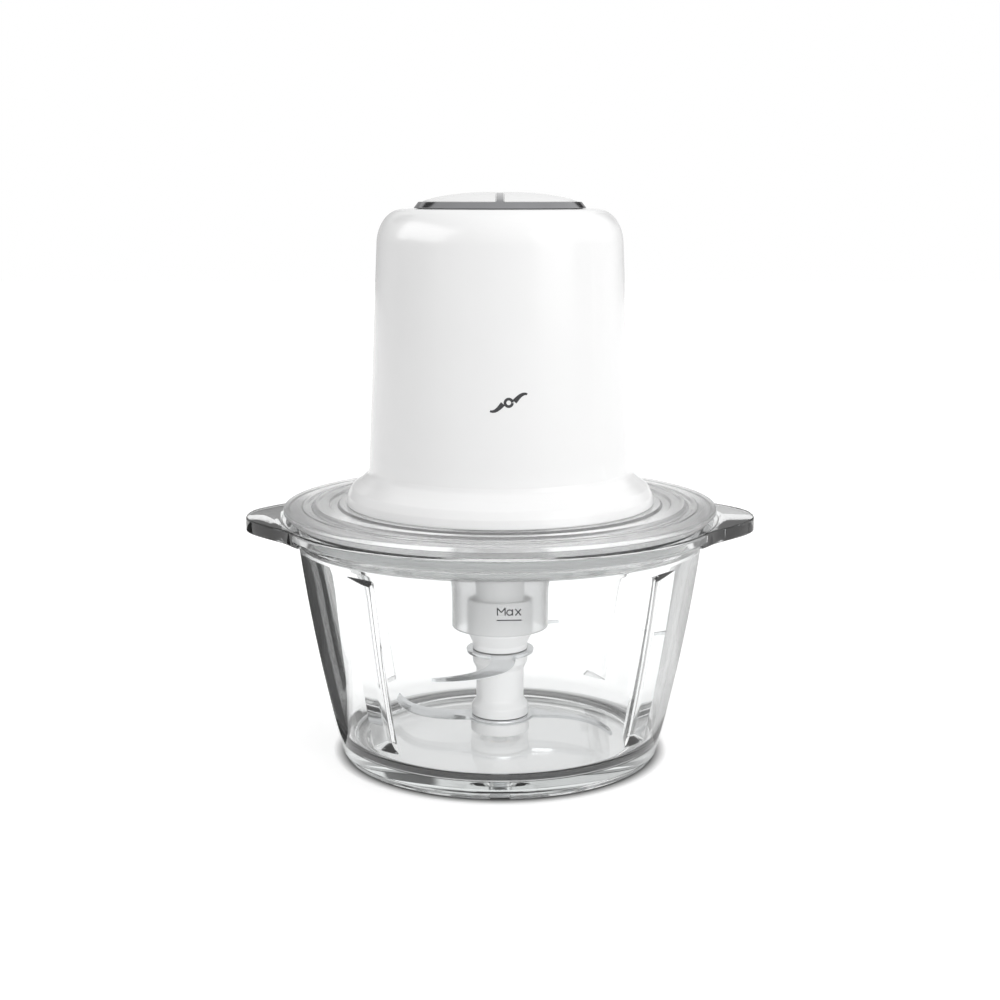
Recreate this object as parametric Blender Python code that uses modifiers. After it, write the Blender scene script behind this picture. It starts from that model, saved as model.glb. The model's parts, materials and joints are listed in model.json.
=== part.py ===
"""A mini chopper: glass bowl with three ribs, clear lid, lift-off motor unit and a two-tier blade.

Lengths below are in millimetres. +Z is up, the front faces -Y and the bowl's ears point along X.
The Z axis is the axis of the bowl, the blades, the gear train and the motor.
"""

import math

import bmesh
import bpy

MM = 0.001
TAU = 2 * math.pi
GAP = 0.3

SMOOTH_SEGMENTS = 36
PLAIN_SEGMENTS = 20
SMALL_SEGMENTS = 16
PIN_SEGMENTS = 12

# Bowl
RIM_R = 96.0
RIM_TOP = 106.0
RIM_INNER_R = 84.0
WALL = 4.0
FLOOR_TOP = 7.0
FOOT_RECESS_TOP = 1.5
BOSS_TOP = 11.0
EAR_BOTTOM = 99.8
EAR_TOP = 105.8
RIB_AZIMUTHS = (-41.5, 52.0, 138.5, 232.0)
RIB_WALL_BOTTOM = 14.0
RIB_WALL_TOP = 93.1
RIB_WALL_HALF = 9.5
RIB_EDGE_BOTTOM = 20.0
RIB_EDGE_TOP = 89.0

# Lid
LID_R = 94.4
LID_TOP = 112.0
LID_UNDERSIDE = 109.5
LID_COLLAR_R = 21.4
LID_COLLAR_INNER_R = 19.4
LID_COLLAR_BOTTOM = 56.0
SKIRT_R = 83.3
SKIRT_INNER_R = 80.3
SKIRT_BOTTOM = 98.5

# Motor unit shell
UNIT_BOTTOM = 112.35
SEAM_Z = 127.0
HOUSING_TOP = 238.0
HOUSING_WALL = 2.6
OPENING_R = 35.5
CORD_HOLE_Z = 138.0
CORD_HOLE_R = 5.5
BASE_PLATE_R = 63.7
BASE_PLATE_BOTTOM = 112.5
BASE_PLATE_TOP = 115.5
NOSE_R = 18.6
NOSE_BOTTOM = 104.0
BEARING_SEAT_R = 11.3
SCREW_CIRCLE_R = 34.0

# Buttons
BUTTON_R = 33.0
BUTTON_SPLIT = 1.8
BUTTON_BOTTOM = 237.5
BUTTON_STEM_XY = (15.0, -8.0)
BUTTON_PIN_XY = (15.0, 11.0)
SWITCH_PLATE_R = 49.3
SWITCH_PLATE_BOTTOM = 221.0
SWITCH_PLATE_TOP = 223.0
SPRING_COILS = 4.0

# Gear train: a fixed ring, three planets on the carrier and the sun on the motor shaft
GEAR_MODULE = 1.0
PRESSURE_ANGLE = math.radians(25.0)
SUN_TEETH = 12
PLANET_TEETH = 18
RING_TEETH = 48
TOOTH_THINNING = 0.15
PLANET_CIRCLE_R = GEAR_MODULE * (SUN_TEETH + PLANET_TEETH) / 2
PLANET_ANGLES = (90.0, 210.0, 330.0)
GEAR_BOTTOM = 121.0
GEAR_TOP = 129.0
CARRIER_BOTTOM = 117.5
CARRIER_TOP = 120.5
OUTPUT_SHAFT_R = 4.0

# Motor
SHAFT_R = 2.5
SHAFT_TOP = 214.0
MOUNT_TOP = 132.8
MOUNT_POST_XY = (22.0, 25.0)
CORE_BOTTOM = 158.0
CORE_TOP = 186.0
ARMATURE_R = 15.5
STATOR_BORE_R = 16.2
BRUSH_Z = 198.5
COMMUTATOR_R = 8.0
BRACKET_BOTTOM = 204.8
BRACKET_TOP = 207.8

# Drive coupler and blade assembly
COUPLER_R = 10.6
COUPLER_TOP = 103.5
COUPLER_STEP = 63.0
COUPLER_BOTTOM = 52.0
COUPLER_HEX_R = 8.5
HUB_R = 14.5
HUB_TOP = 70.0
HUB_CUP_R = 11.6
HUB_CUP_FLOOR = 62.4
HUB_BORE_R = 4.9
HUB_BORE_TOP = 49.0
SPINDLE_R = 3.0
SPINDLE_TOP = 47.5
BLADE_R = 55.0
BLADE_THICKNESS = 1.4
BLADE_HOLE_R = 9.8
LOWER_BLADE_Z = 14.3
UPPER_BLADE_Z = 44.3


# Scene and materials


def clear_scene():
    for obj in list(bpy.data.objects):
        bpy.data.objects.remove(obj, do_unlink=True)


def new_collection(name, hidden=False):
    collection = bpy.data.collections.new(name)
    bpy.context.scene.collection.children.link(collection)
    collection.hide_render = hidden
    return collection


clear_scene()
PARTS = new_collection("mini_chopper")
CUTTERS = new_collection("cutters", hidden=True)


def material(name, color, roughness, metallic=0.0, transmission=0.0):
    made = bpy.data.materials.new(name)
    made.use_nodes = True
    shader = made.node_tree.nodes["Principled BSDF"]
    shader.inputs["Base Color"].default_value = (*color, 1.0)
    shader.inputs["Roughness"].default_value = roughness
    shader.inputs["Metallic"].default_value = metallic
    shader.inputs["Transmission Weight"].default_value = transmission
    made.diffuse_color = (*color, 1.0)
    return made


GLASS = material("clear_glass", (0.96, 0.98, 0.97), 0.03, transmission=1.0)
CLEAR_PLASTIC = material("clear_plastic", (0.93, 0.94, 0.94), 0.12, transmission=0.9)
SILICONE = material("silicone", (0.85, 0.86, 0.86), 0.55)
WHITE_GLOSS = material("white_gloss", (0.88, 0.88, 0.88), 0.18)
WHITE_SATIN = material("white_satin", (0.82, 0.82, 0.82), 0.35)
CHROME = material("chrome", (0.62, 0.63, 0.65), 0.12, metallic=1.0)
STEEL = material("blade_steel", (0.66, 0.67, 0.68), 0.25, metallic=1.0)
CORE_STEEL = material("core_steel", (0.28, 0.29, 0.31), 0.45, metallic=1.0)
COPPER = material("winding_copper", (0.62, 0.27, 0.12), 0.38, metallic=1.0)
BRASS = material("brass", (0.72, 0.55, 0.24), 0.32, metallic=1.0)
CARBON = material("carbon", (0.04, 0.04, 0.04), 0.7)
BLACK_PLASTIC = material("black_plastic", (0.03, 0.03, 0.03), 0.45)
GREY_PLASTIC = material("grey_plastic", (0.32, 0.33, 0.34), 0.5)
GEAR_NYLON = material("gear_nylon", (0.78, 0.76, 0.68), 0.42)
BOARD_GREEN = material("board_green", (0.05, 0.24, 0.11), 0.5)
CAPACITOR_YELLOW = material("capacitor_yellow", (0.78, 0.55, 0.07), 0.4)
RUBBER = material("black_rubber", (0.02, 0.02, 0.02), 0.8)


# Construction helpers


def add_mesh(name, mesh, finish=None, at=(0.0, 0.0, 0.0)):
    """Links the mesh as a part, or as a hidden cutter when it has no finish."""
    obj = bpy.data.objects.new(name, mesh)
    obj.location = [value * MM for value in at]
    if finish is None:
        obj.display_type = "WIRE"
        obj.hide_render = True
        CUTTERS.objects.link(obj)
    else:
        mesh.materials.append(finish)
        PARTS.objects.link(obj)
    return obj


def shade_smooth(obj):
    """Smooth shading with the hard edges kept."""
    for polygon in obj.data.polygons:
        polygon.use_smooth = True
    obj.data.set_sharp_from_angle(angle=math.radians(35))
    return obj


def turned(name, profile, finish=None, segments=SMOOTH_SEGMENTS, at=(0.0, 0.0, 0.0), closed=True):
    """A profile of (radius, height) turned about the vertical axis through `at`."""
    mesh = bpy.data.meshes.new(name)
    points = [(radius * MM, 0.0, height * MM) for radius, height in profile]
    edges = [(i, i + 1) for i in range(len(points) - 1)]
    if closed:
        edges.append((len(points) - 1, 0))
    mesh.from_pydata(points, edges, [])
    obj = add_mesh(name, mesh, finish, at)
    screw = obj.modifiers.new("Screw", "SCREW")
    screw.steps = segments
    screw.render_steps = segments
    screw.use_merge_vertices = True
    screw.merge_threshold = 0.00001
    screw.use_smooth_shade = True
    return obj


def tube(name, inner_r, outer_r, bottom, top, finish=None, segments=SMALL_SEGMENTS, at=(0, 0, 0)):
    profile = [(inner_r, top), (outer_r, top), (outer_r, bottom), (inner_r, bottom)]
    return turned(name, profile, finish, segments, at)


def cylinder(name, radius, bottom, top, finish=None, segments=SMALL_SEGMENTS, at=(0.0, 0.0)):
    """An upright cylinder, or a prism when it has few segments."""
    shape = bmesh.new()
    bmesh.ops.create_cone(
        shape,
        cap_ends=True,
        segments=segments,
        radius1=radius * MM,
        radius2=radius * MM,
        depth=(top - bottom) * MM,
    )
    bmesh.ops.translate(shape, verts=shape.verts, vec=(0.0, 0.0, (top + bottom) / 2 * MM))
    mesh = bpy.data.meshes.new(name)
    shape.to_mesh(mesh)
    shape.free()
    return shade_smooth(add_mesh(name, mesh, finish, (at[0], at[1], 0.0)))


def block(name, size, centre, finish=None, bevel=0.0):
    shape = bmesh.new()
    bmesh.ops.create_cube(shape, size=1.0)
    bmesh.ops.scale(shape, verts=shape.verts, vec=[value * MM for value in size])
    mesh = bpy.data.meshes.new(name)
    shape.to_mesh(mesh)
    shape.free()
    obj = add_mesh(name, mesh, finish, centre)
    if bevel:
        rounding = obj.modifiers.new("Bevel", "BEVEL")
        rounding.width = bevel * MM
    return obj


def curve_to_mesh(curve_obj, name, finish, at=(0.0, 0.0, 0.0)):
    """The curve's surface as a welded mesh object; the curve itself is removed."""
    bpy.context.view_layer.update()
    graph = bpy.context.evaluated_depsgraph_get()
    mesh = bpy.data.meshes.new_from_object(curve_obj.evaluated_get(graph))
    mesh.materials.clear()
    shape = bmesh.new()
    shape.from_mesh(mesh)
    bmesh.ops.remove_doubles(shape, verts=shape.verts, dist=0.000001)
    bmesh.ops.recalc_face_normals(shape, faces=shape.faces)
    shape.to_mesh(mesh)
    shape.free()
    bpy.data.objects.remove(curve_obj, do_unlink=True)
    mesh.name = name
    return shade_smooth(add_mesh(name, mesh, finish, at))


def flat(name, loops, bottom, top, finish=None, at=(0.0, 0.0)):
    """A flat plate: the first loop is its outline, and the others are holes in it."""
    curve = bpy.data.curves.new(name, "CURVE")
    curve.dimensions = "2D"
    curve.fill_mode = "BOTH"
    curve.extrude = (top - bottom) / 2 * MM
    for loop in loops:
        spline = curve.splines.new("POLY")
        spline.points.add(len(loop) - 1)
        spline.use_cyclic_u = True
        for point, (x, y) in zip(spline.points, loop):
            point.co = (x * MM, y * MM, 0.0, 1.0)
    obj = bpy.data.objects.new(name + "_outline", curve)
    bpy.context.scene.collection.objects.link(obj)
    plate = curve_to_mesh(obj, name, finish, (at[0], at[1], 0.0))
    for vertex in plate.data.vertices:
        vertex.co.z += (top + bottom) / 2 * MM
    return plate


def wire(name, path, radius, finish, at=(0.0, 0.0, 0.0), cyclic=False):
    """A round wire along the path, with closed ends."""
    curve = bpy.data.curves.new(name, "CURVE")
    curve.dimensions = "3D"
    curve.bevel_depth = radius * MM
    curve.bevel_resolution = 2
    curve.use_fill_caps = True
    spline = curve.splines.new("POLY")
    spline.points.add(len(path) - 1)
    spline.use_cyclic_u = cyclic
    for point, place in zip(spline.points, path):
        point.co = (*[value * MM for value in place], 1.0)
    obj = bpy.data.objects.new(name + "_path", curve)
    bpy.context.scene.collection.objects.link(obj)
    return curve_to_mesh(obj, name, finish, at)


def combine(obj, others, operation):
    for other in others:
        other.hide_render = True
        boolean = obj.modifiers.new(other.name, "BOOLEAN")
        boolean.operation = operation
        boolean.solver = "EXACT"
        boolean.object = other
    return obj


def cut(obj, *cutters):
    return combine(obj, cutters, "DIFFERENCE")


def join(obj, *additions):
    return combine(obj, additions, "UNION")


def circle(radius, segments, centre=(0.0, 0.0), phase=0.0):
    angles = [phase + TAU * i / segments for i in range(segments)]
    return [(centre[0] + radius * math.cos(a), centre[1] + radius * math.sin(a)) for a in angles]


def turn_points(points, angle):
    c, s = math.cos(angle), math.sin(angle)
    return [(x * c - y * s, x * s + y * c) for x, y in points]


# Bowl


def wall_radius(z):
    """The outer radius of the bowl's slightly curved, flaring wall."""
    return 70.1 + 0.252 * z - 0.00065 * z * z


def bowl_profile():
    inner = [(wall_radius(z) - WALL, z) for z in (22.0, 46.0, 70.0, 90.0)]
    outer = [(wall_radius(z), z) for z in (90.0, 70.0, 46.0, 22.0, 5.0)]
    pin_hole = [(0.0, 4.2), (SPINDLE_R + GAP, 4.2), (SPINDLE_R + GAP, BOSS_TOP)]
    boss = [(6.0, BOSS_TOP), (8.5, FLOOR_TOP + 0.6), (10.0, FLOOR_TOP)]
    floor = [(61.0, FLOOR_TOP), (66.0, 8.4), (68.6, 11.5)]
    rim_inside = [(RIM_INNER_R, 94.0), (RIM_INNER_R, RIM_TOP - 0.8), (RIM_INNER_R + 0.8, RIM_TOP)]
    rim_outside = [(RIM_R - 0.9, RIM_TOP), (RIM_R, RIM_TOP - 0.9), (RIM_R, 102.2), (94.6, 100.6)]
    underside = [(88.6, 96.4)]
    foot = [(70.6, 1.7), (69.6, 0.4), (68.2, 0.0), (60.5, 0.0)]
    recess = [(59.0, FOOT_RECESS_TOP), (0.0, FOOT_RECESS_TOP)]
    inside = pin_hole + boss + floor + inner + rim_inside
    outside = rim_outside + underside + outer + foot + recess
    return inside + outside


def ear(side):
    """One flat carrying ear, which blends into the rim with a small concave corner."""
    half = [(111.5, 3.0), (111.1, 8.5), (109.3, 13.0), (106.0, 18.0), (100.0, 25.0)]
    root = [(94.0, 31.3), (90.0, 36.3), (87.0, 41.0), (84.0, 45.5), (79.0, 43.0), (86.5, 22.0)]
    front = half + root
    back = [(x, -y) for x, y in reversed(front)]
    outline = [(side * x, y) for x, y in front + back]
    return flat(f"ear_{side}", [outline], EAR_BOTTOM, EAR_TOP)


def rib(azimuth):
    """One upright rib inside the bowl: sloping flanks, a narrow inner edge and a slanted top."""
    angle = math.radians(azimuth)
    outward = (math.sin(angle), -math.cos(angle))
    along = (math.cos(angle), math.sin(angle))
    lower_wall = wall_radius(RIB_WALL_BOTTOM) - WALL / 2
    upper_wall = wall_radius(RIB_WALL_TOP) - WALL / 2
    lower_edge = wall_radius(RIB_EDGE_BOTTOM) - WALL - 5.4
    upper_edge = wall_radius(RIB_EDGE_TOP) - WALL - 6.4
    corners = [
        (lower_wall, -RIB_WALL_HALF, RIB_WALL_BOTTOM),
        (lower_wall, RIB_WALL_HALF, RIB_WALL_BOTTOM),
        (lower_edge, 1.5, RIB_EDGE_BOTTOM),
        (lower_edge, -1.5, RIB_EDGE_BOTTOM),
        (upper_wall, -RIB_WALL_HALF, RIB_WALL_TOP),
        (upper_wall, RIB_WALL_HALF, RIB_WALL_TOP),
        (upper_edge, 2.0, RIB_EDGE_TOP),
        (upper_edge, -2.0, RIB_EDGE_TOP),
    ]
    points = []
    for radius, offset, z in corners:
        x = radius * outward[0] + offset * along[0]
        y = radius * outward[1] + offset * along[1]
        points.append((x * MM, y * MM, z * MM))
    faces = [(0, 3, 2, 1), (4, 5, 6, 7), (0, 1, 5, 4), (1, 2, 6, 5), (2, 3, 7, 6), (3, 0, 4, 7)]
    mesh = bpy.data.meshes.new(f"rib_{azimuth:.0f}")
    mesh.from_pydata(points, [], faces)
    shape = bmesh.new()
    shape.from_mesh(mesh)
    bmesh.ops.recalc_face_normals(shape, faces=shape.faces)
    shape.to_mesh(mesh)
    shape.free()
    return add_mesh(mesh.name, mesh)


def build_bowl():
    bowl = turned("bowl", bowl_profile(), GLASS, closed=False)
    join(bowl, ear(-1), ear(1), *[rib(azimuth) for azimuth in RIB_AZIMUTHS])
    drains = block("foot_drains", (8.0, 160.0, 2.4), (0.0, 0.0, 0.0))
    keep = cylinder("foot_drain_keep", 58.0, -3.0, 3.0)
    cut(bowl, cut(drains, keep))
    cylinder("bowl_spindle", SPINDLE_R, 4.5, SPINDLE_TOP, STEEL)


# Lid


def lid_profile():
    top = [
        (LID_COLLAR_INNER_R, LID_TOP),
        (78.6, LID_TOP),
        (79.6, LID_TOP + 0.5),
        (80.8, LID_TOP + 0.5),
        (82.2, 110.9),
        (83.8, 110.9),
        (84.8, 111.4),
        (86.6, 111.0),
        (93.8, 111.0),
        (LID_R, 110.4),
    ]
    edge = [(LID_R, 108.8), (92.2, 108.6), (91.6, RIM_TOP + GAP)]
    skirt = [
        (SKIRT_R, RIM_TOP + GAP),
        (SKIRT_R, 104.0),
        (81.9, 104.0),
        (81.9, 100.0),
        (SKIRT_R, 100.0),
        (SKIRT_R, SKIRT_BOTTOM),
        (SKIRT_INNER_R, SKIRT_BOTTOM),
        (SKIRT_INNER_R, LID_UNDERSIDE),
    ]
    collar = [
        (LID_COLLAR_R, LID_UNDERSIDE),
        (LID_COLLAR_R, LID_COLLAR_BOTTOM),
        (LID_COLLAR_INNER_R, LID_COLLAR_BOTTOM),
    ]
    return top + edge + skirt + collar


def build_lid():
    turned("lid", lid_profile(), CLEAR_PLASTIC)
    tube("lid_gasket", 82.2, 83.6, 100.3, 103.7, SILICONE, SMOOTH_SEGMENTS)


# Motor unit shell


def build_motor_housing():
    corner = [
        (42.0, HOUSING_TOP),
        (44.8, 237.1),
        (46.9, 235.9),
        (48.2, 234.6),
        (50.1, 232.1),
        (51.3, 229.5),
        (52.2, 226.0),
        (52.6, 222.0),
    ]
    wall = [(53.8, 197.6), (54.8, 171.9), (56.1, 145.9), (57.1, SEAM_Z + GAP)]
    inner_wall = [(54.5, SEAM_Z + GAP), (52.2, 171.9), (50.0, 222.0)]
    inner_corner = [(48.4, 230.0), (45.2, 233.6), (41.6, 235.4)]
    opening = [(OPENING_R, HOUSING_TOP - HOUSING_WALL), (OPENING_R, HOUSING_TOP)]
    profile = corner + wall + inner_wall + inner_corner + opening
    housing = turned("motor_housing", profile, WHITE_GLOSS)
    hole = cylinder("cord_hole", CORD_HOLE_R, 45.0, 65.0)
    hole.rotation_euler = (-math.pi / 2, 0.0, 0.0)
    hole.location.z = CORD_HOLE_Z * MM
    cut(housing, hole)


def build_base_collar():
    outer = [
        (57.5, SEAM_Z - 0.1),
        (58.5, 124.0),
        (61.6, 121.9),
        (64.8, 118.8),
        (66.5, 115.4),
        (67.4, UNIT_BOTTOM),
    ]
    inner = [(64.8, UNIT_BOTTOM), (64.4, 115.6), (61.6, 119.2), (55.0, SEAM_Z - 0.1)]
    turned("base_collar", outer + inner, WHITE_GLOSS)


def build_bezel_ring():
    profile = [
        (33.4, 241.0),
        (34.7, 241.0),
        (36.8, HOUSING_TOP + GAP),
        (35.1, HOUSING_TOP + GAP),
        (35.1, 233.0),
        (33.4, 233.0),
    ]
    turned("bezel_ring", profile, CHROME)


def build_base_plate():
    profile = [
        (BEARING_SEAT_R, BASE_PLATE_TOP),
        (BASE_PLATE_R, BASE_PLATE_TOP),
        (BASE_PLATE_R, BASE_PLATE_BOTTOM),
        (NOSE_R, BASE_PLATE_BOTTOM),
        (NOSE_R, NOSE_BOTTOM + 1.0),
        (NOSE_R - 1.0, NOSE_BOTTOM),
        (6.5, NOSE_BOTTOM),
        (6.5, NOSE_BOTTOM + 1.4),
        (BEARING_SEAT_R, NOSE_BOTTOM + 1.4),
    ]
    plate = turned("base_plate", profile, WHITE_SATIN, PLAIN_SEGMENTS)
    for i in range(8):
        angle = TAU * (i + 0.5) / 8
        centre = (49.0 * math.cos(angle), 49.0 * math.sin(angle), BASE_PLATE_TOP - 1.5)
        vent = block(f"base_vent_{i + 1}", (12.0, 3.2, 8.0), centre)
        vent.rotation_euler.z = angle
        cut(plate, vent)
    for i, (x, y) in enumerate(screw_places()):
        cut(plate, cylinder(f"screw_counterbore_{i + 1}", 3.1, 110.0, 114.2, None, PIN_SEGMENTS, (x, y)))
        cut(plate, cylinder(f"screw_hole_{i + 1}", 1.6, 113.0, 121.0, None, PIN_SEGMENTS, (x, y)))


def screw_places():
    return circle(SCREW_CIRCLE_R, 4, phase=math.pi / 4)


def build_base_screws():
    for i, (x, y) in enumerate(screw_places()):
        shank = [(0.0, 118.6), (1.2, 118.6), (1.2, 113.9)]
        head = [(2.7, 113.9), (2.7, 112.9), (2.2, 112.6), (0.0, 112.6)]
        name = f"base_screw_{i + 1}"
        screw = turned(name, shank + head, STEEL, PIN_SEGMENTS, (x, y, 0.0), closed=False)
        slot = block(f"screw_slot_{i + 1}", (4.0, 0.7, 1.0), (x, y, 112.6))
        cut(screw, slot)


def build_cord_gland():
    """A grommet in the back wall, turned about an axis along Y."""
    profile = [
        (3.2, 62.0),
        (5.2, 62.0),
        (8.0, 59.5),
        (8.0, 57.5),
        (5.0, 57.1),
        (5.0, 52.9),
        (7.5, 52.5),
        (7.5, 50.5),
        (3.2, 50.5),
    ]
    gland = turned("cord_gland", profile, RUBBER, SMALL_SEGMENTS)
    gland.rotation_euler = (-math.pi / 2, 0.0, 0.0)
    gland.location.z = CORD_HOLE_Z * MM


# Buttons, springs and switches


def button_dome(name, finish=None, drop=0.0):
    """The shallow dome that both buttons and the strip between them share."""
    crown = [(0.0, 245.1), (9.0, 245.0), (17.6, 244.6), (25.7, 243.3), (30.0, 242.2), (BUTTON_R, 241.0)]
    profile = [(r, z - drop) for r, z in crown] + [(BUTTON_R, BUTTON_BOTTOM), (0.0, BUTTON_BOTTOM)]
    return turned(name, profile, finish, SMOOTH_SEGMENTS, closed=False)


def build_button(name, side):
    """Half the dome, with a stem over its switch and a guide pin for its spring."""
    button = button_dome(name, WHITE_GLOSS)
    centre_x = side * (BUTTON_SPLIT - 40.0)
    cut(button, block(f"{name}_other_half", (80.0, 80.0, 20.0), (centre_x, 0.0, 240.0)))
    stem_xy = (side * BUTTON_STEM_XY[0], BUTTON_STEM_XY[1])
    pin_xy = (side * BUTTON_PIN_XY[0], BUTTON_PIN_XY[1])
    join(button, cylinder(f"{name}_stem", 2.2, 232.2, 239.0, None, PIN_SEGMENTS, stem_xy))
    join(button, cylinder(f"{name}_pin", 2.0, 218.0, 239.0, None, PIN_SEGMENTS, pin_xy))


def build_button_divider():
    strip = button_dome("button_divider", CHROME, drop=0.2)
    for side in (-1, 1):
        outside = block(f"divider_side_{side}", (40.0, 80.0, 20.0), (side * (1.5 + 20.0), 0.0, 240.0))
        cut(strip, outside)


def build_button_spring(name, side):
    """A compression spring round the button's guide pin, standing on the switch plate."""
    bottom, top = SWITCH_PLATE_TOP + 0.9, BUTTON_BOTTOM - 0.9
    steps = int(SPRING_COILS * 8)
    path = []
    for i in range(steps + 1):
        angle = TAU * SPRING_COILS * i / steps
        z = bottom + (top - bottom) * i / steps
        path.append((3.6 * math.cos(angle), 3.6 * math.sin(angle), z))
    wire(name, path, 0.5, STEEL, (side * BUTTON_PIN_XY[0], BUTTON_PIN_XY[1], 0.0))


def build_switches():
    levels = (SWITCH_PLATE_BOTTOM, SWITCH_PLATE_TOP)
    plate = cylinder("switch_plate", SWITCH_PLATE_R, *levels, GREY_PLASTIC, PLAIN_SEGMENTS)
    for side, label in ((-1, "left"), (1, "right")):
        pin_xy = (side * BUTTON_PIN_XY[0], BUTTON_PIN_XY[1])
        cut(plate, cylinder(f"pin_hole_{label}", 2.6, 215.0, 225.0, None, PIN_SEGMENTS, pin_xy))
        x, y = side * BUTTON_STEM_XY[0], BUTTON_STEM_XY[1]
        body = block(f"microswitch_{label}", (6.4, 12.8, 5.0), (x, y, 225.8), BLACK_PLASTIC)
        plunger = cylinder(f"switch_plunger_{label}", 1.3, 227.0, 229.4, None, PIN_SEGMENTS, (x, y))
        join(body, plunger)
    wire_slot = block("switch_wire_slot", (14.0, 10.0, 8.0), (0.0, 40.0, 222.0))
    cut(plate, wire_slot)


# Gear train


def involute(angle):
    return math.tan(angle) - angle


def gear_outline(teeth, radii, phase, thinning):
    """Teeth with straight flanks through the involute's points at these radii, root to tip."""
    pitch_r = GEAR_MODULE * teeth / 2
    base_r = pitch_r * math.cos(PRESSURE_ANGLE)
    half_at_pitch = math.pi / (2 * teeth) - thinning / (2 * pitch_r)
    offsets = []
    for radius in radii:
        pressure = math.acos(min(1.0, base_r / radius))
        offsets.append((radius, half_at_pitch + involute(PRESSURE_ANGLE) - involute(pressure)))
    rising = [(radius, -half) for radius, half in offsets]
    falling = [(radius, half) for radius, half in reversed(offsets)]
    points = []
    for tooth in range(teeth):
        centre = phase + TAU * tooth / teeth
        for radius, offset in rising + falling:
            points.append((radius * math.cos(centre + offset), radius * math.sin(centre + offset)))
    return points


def build_sun_gear():
    pitch_r = GEAR_MODULE * SUN_TEETH / 2
    radii = (pitch_r - 1.25, pitch_r, pitch_r + 0.9)
    outline = gear_outline(SUN_TEETH, radii, 0.0, TOOTH_THINNING)
    bore = circle(SHAFT_R + GAP, PIN_SEGMENTS)
    flat("sun_gear", [outline, bore], GEAR_BOTTOM - 0.2, GEAR_TOP + 0.2, BRASS)


def build_planet_gears():
    pitch_r = GEAR_MODULE * PLANET_TEETH / 2
    for i, degrees in enumerate(PLANET_ANGLES):
        angle = math.radians(degrees)
        phase = angle + math.pi - math.pi / PLANET_TEETH
        radii = (pitch_r - 1.25, pitch_r, pitch_r + 0.9)
        outline = gear_outline(PLANET_TEETH, radii, phase, TOOTH_THINNING)
        bore = circle(2.4, PIN_SEGMENTS)
        x, y = PLANET_CIRCLE_R * math.cos(angle), PLANET_CIRCLE_R * math.sin(angle)
        flat(f"planet_gear_{i + 1}", [outline, bore], GEAR_BOTTOM, GEAR_TOP, GEAR_NYLON, (x, y))


def build_ring_gear():
    """The tooth spaces of the ring are teeth of a 48-tooth outline, a little wider than nominal."""
    pitch_r = GEAR_MODULE * RING_TEETH / 2
    phase = math.pi / RING_TEETH
    radii = (pitch_r - 0.9, pitch_r + 1.25)
    spaces = gear_outline(RING_TEETH, radii, phase, -TOOTH_THINNING)
    flat("ring_gear", [circle(28.0, PLAIN_SEGMENTS), spaces], 119.5, 129.5, GEAR_NYLON)


def build_carrier():
    radii = (OUTPUT_SHAFT_R + GAP, 21.0)
    plate = tube("planet_carrier", *radii, CARRIER_BOTTOM, CARRIER_TOP, CORE_STEEL, PLAIN_SEGMENTS)
    for i, degrees in enumerate(PLANET_ANGLES):
        angle = math.radians(degrees)
        at = (PLANET_CIRCLE_R * math.cos(angle), PLANET_CIRCLE_R * math.sin(angle))
        levels = (CARRIER_BOTTOM + 1.0, GEAR_TOP + 0.4)
        join(plate, cylinder(f"planet_pin_{i + 1}", 2.0, *levels, None, PIN_SEGMENTS, at))


def build_output_shaft():
    profile = [
        (0.0, 120.2),
        (OUTPUT_SHAFT_R, 120.2),
        (OUTPUT_SHAFT_R, 117.2),
        (7.0, 117.2),
        (7.0, 115.6),
        (OUTPUT_SHAFT_R, 115.6),
        (OUTPUT_SHAFT_R, 84.4),
        (0.0, 84.4),
    ]
    turned("output_shaft", profile, STEEL, SMALL_SEGMENTS, closed=False)


def build_drive_coupler():
    coupler = cylinder("drive_coupler", COUPLER_R, COUPLER_STEP, COUPLER_TOP, WHITE_SATIN, PLAIN_SEGMENTS)
    tip = cylinder("coupler_hex", COUPLER_HEX_R, COUPLER_BOTTOM, COUPLER_STEP + 1.0, None, 6)
    bore = cylinder("coupler_bore", OUTPUT_SHAFT_R + GAP, 84.0, 110.0)
    join(coupler, tip)
    cut(coupler, bore)


def build_gearbox():
    profile = [
        (8.4, 139.0),
        (10.6, 139.0),
        (10.6, MOUNT_TOP),
        (37.0, MOUNT_TOP),
        (37.0, 130.3),
        (30.6, 130.3),
        (30.6, 118.4),
        (38.0, 118.4),
        (38.0, BASE_PLATE_TOP + GAP),
        (28.5, BASE_PLATE_TOP + GAP),
        (28.5, 130.3),
        (7.8, 130.3),
        (7.8, MOUNT_TOP),
        (8.4, MOUNT_TOP),
    ]
    gearbox = turned("gearbox_housing", profile, GREY_PLASTIC, PLAIN_SEGMENTS)
    for i, (x, y) in enumerate(corner_places(*MOUNT_POST_XY)):
        top = CORE_BOTTOM - GAP
        join(gearbox, cylinder(f"mount_post_{i + 1}", 3.2, 131.5, top, None, PIN_SEGMENTS, (x, y)))
    for i, (x, y) in enumerate(screw_places()):
        cut(gearbox, cylinder(f"gearbox_screw_hole_{i + 1}", 1.6, 114.0, 120.0, None, PIN_SEGMENTS, (x, y)))


def corner_places(x, y):
    return [(x, y), (-x, y), (-x, -y), (x, -y)]


def build_bearings():
    tube("output_bearing", OUTPUT_SHAFT_R + GAP, 11.0, 108.3, 115.2, STEEL, PLAIN_SEGMENTS)
    tube("shaft_seal", OUTPUT_SHAFT_R + GAP, 11.0, 105.7, 108.0, RUBBER, PLAIN_SEGMENTS)
    tube("motor_bearing_lower", SHAFT_R + GAP, 8.0, 133.1, 138.6, BRASS, PLAIN_SEGMENTS)
    tube("motor_bearing_upper", SHAFT_R + GAP, 8.0, 208.1, 213.4, BRASS, SMALL_SEGMENTS)


# Motor


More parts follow.
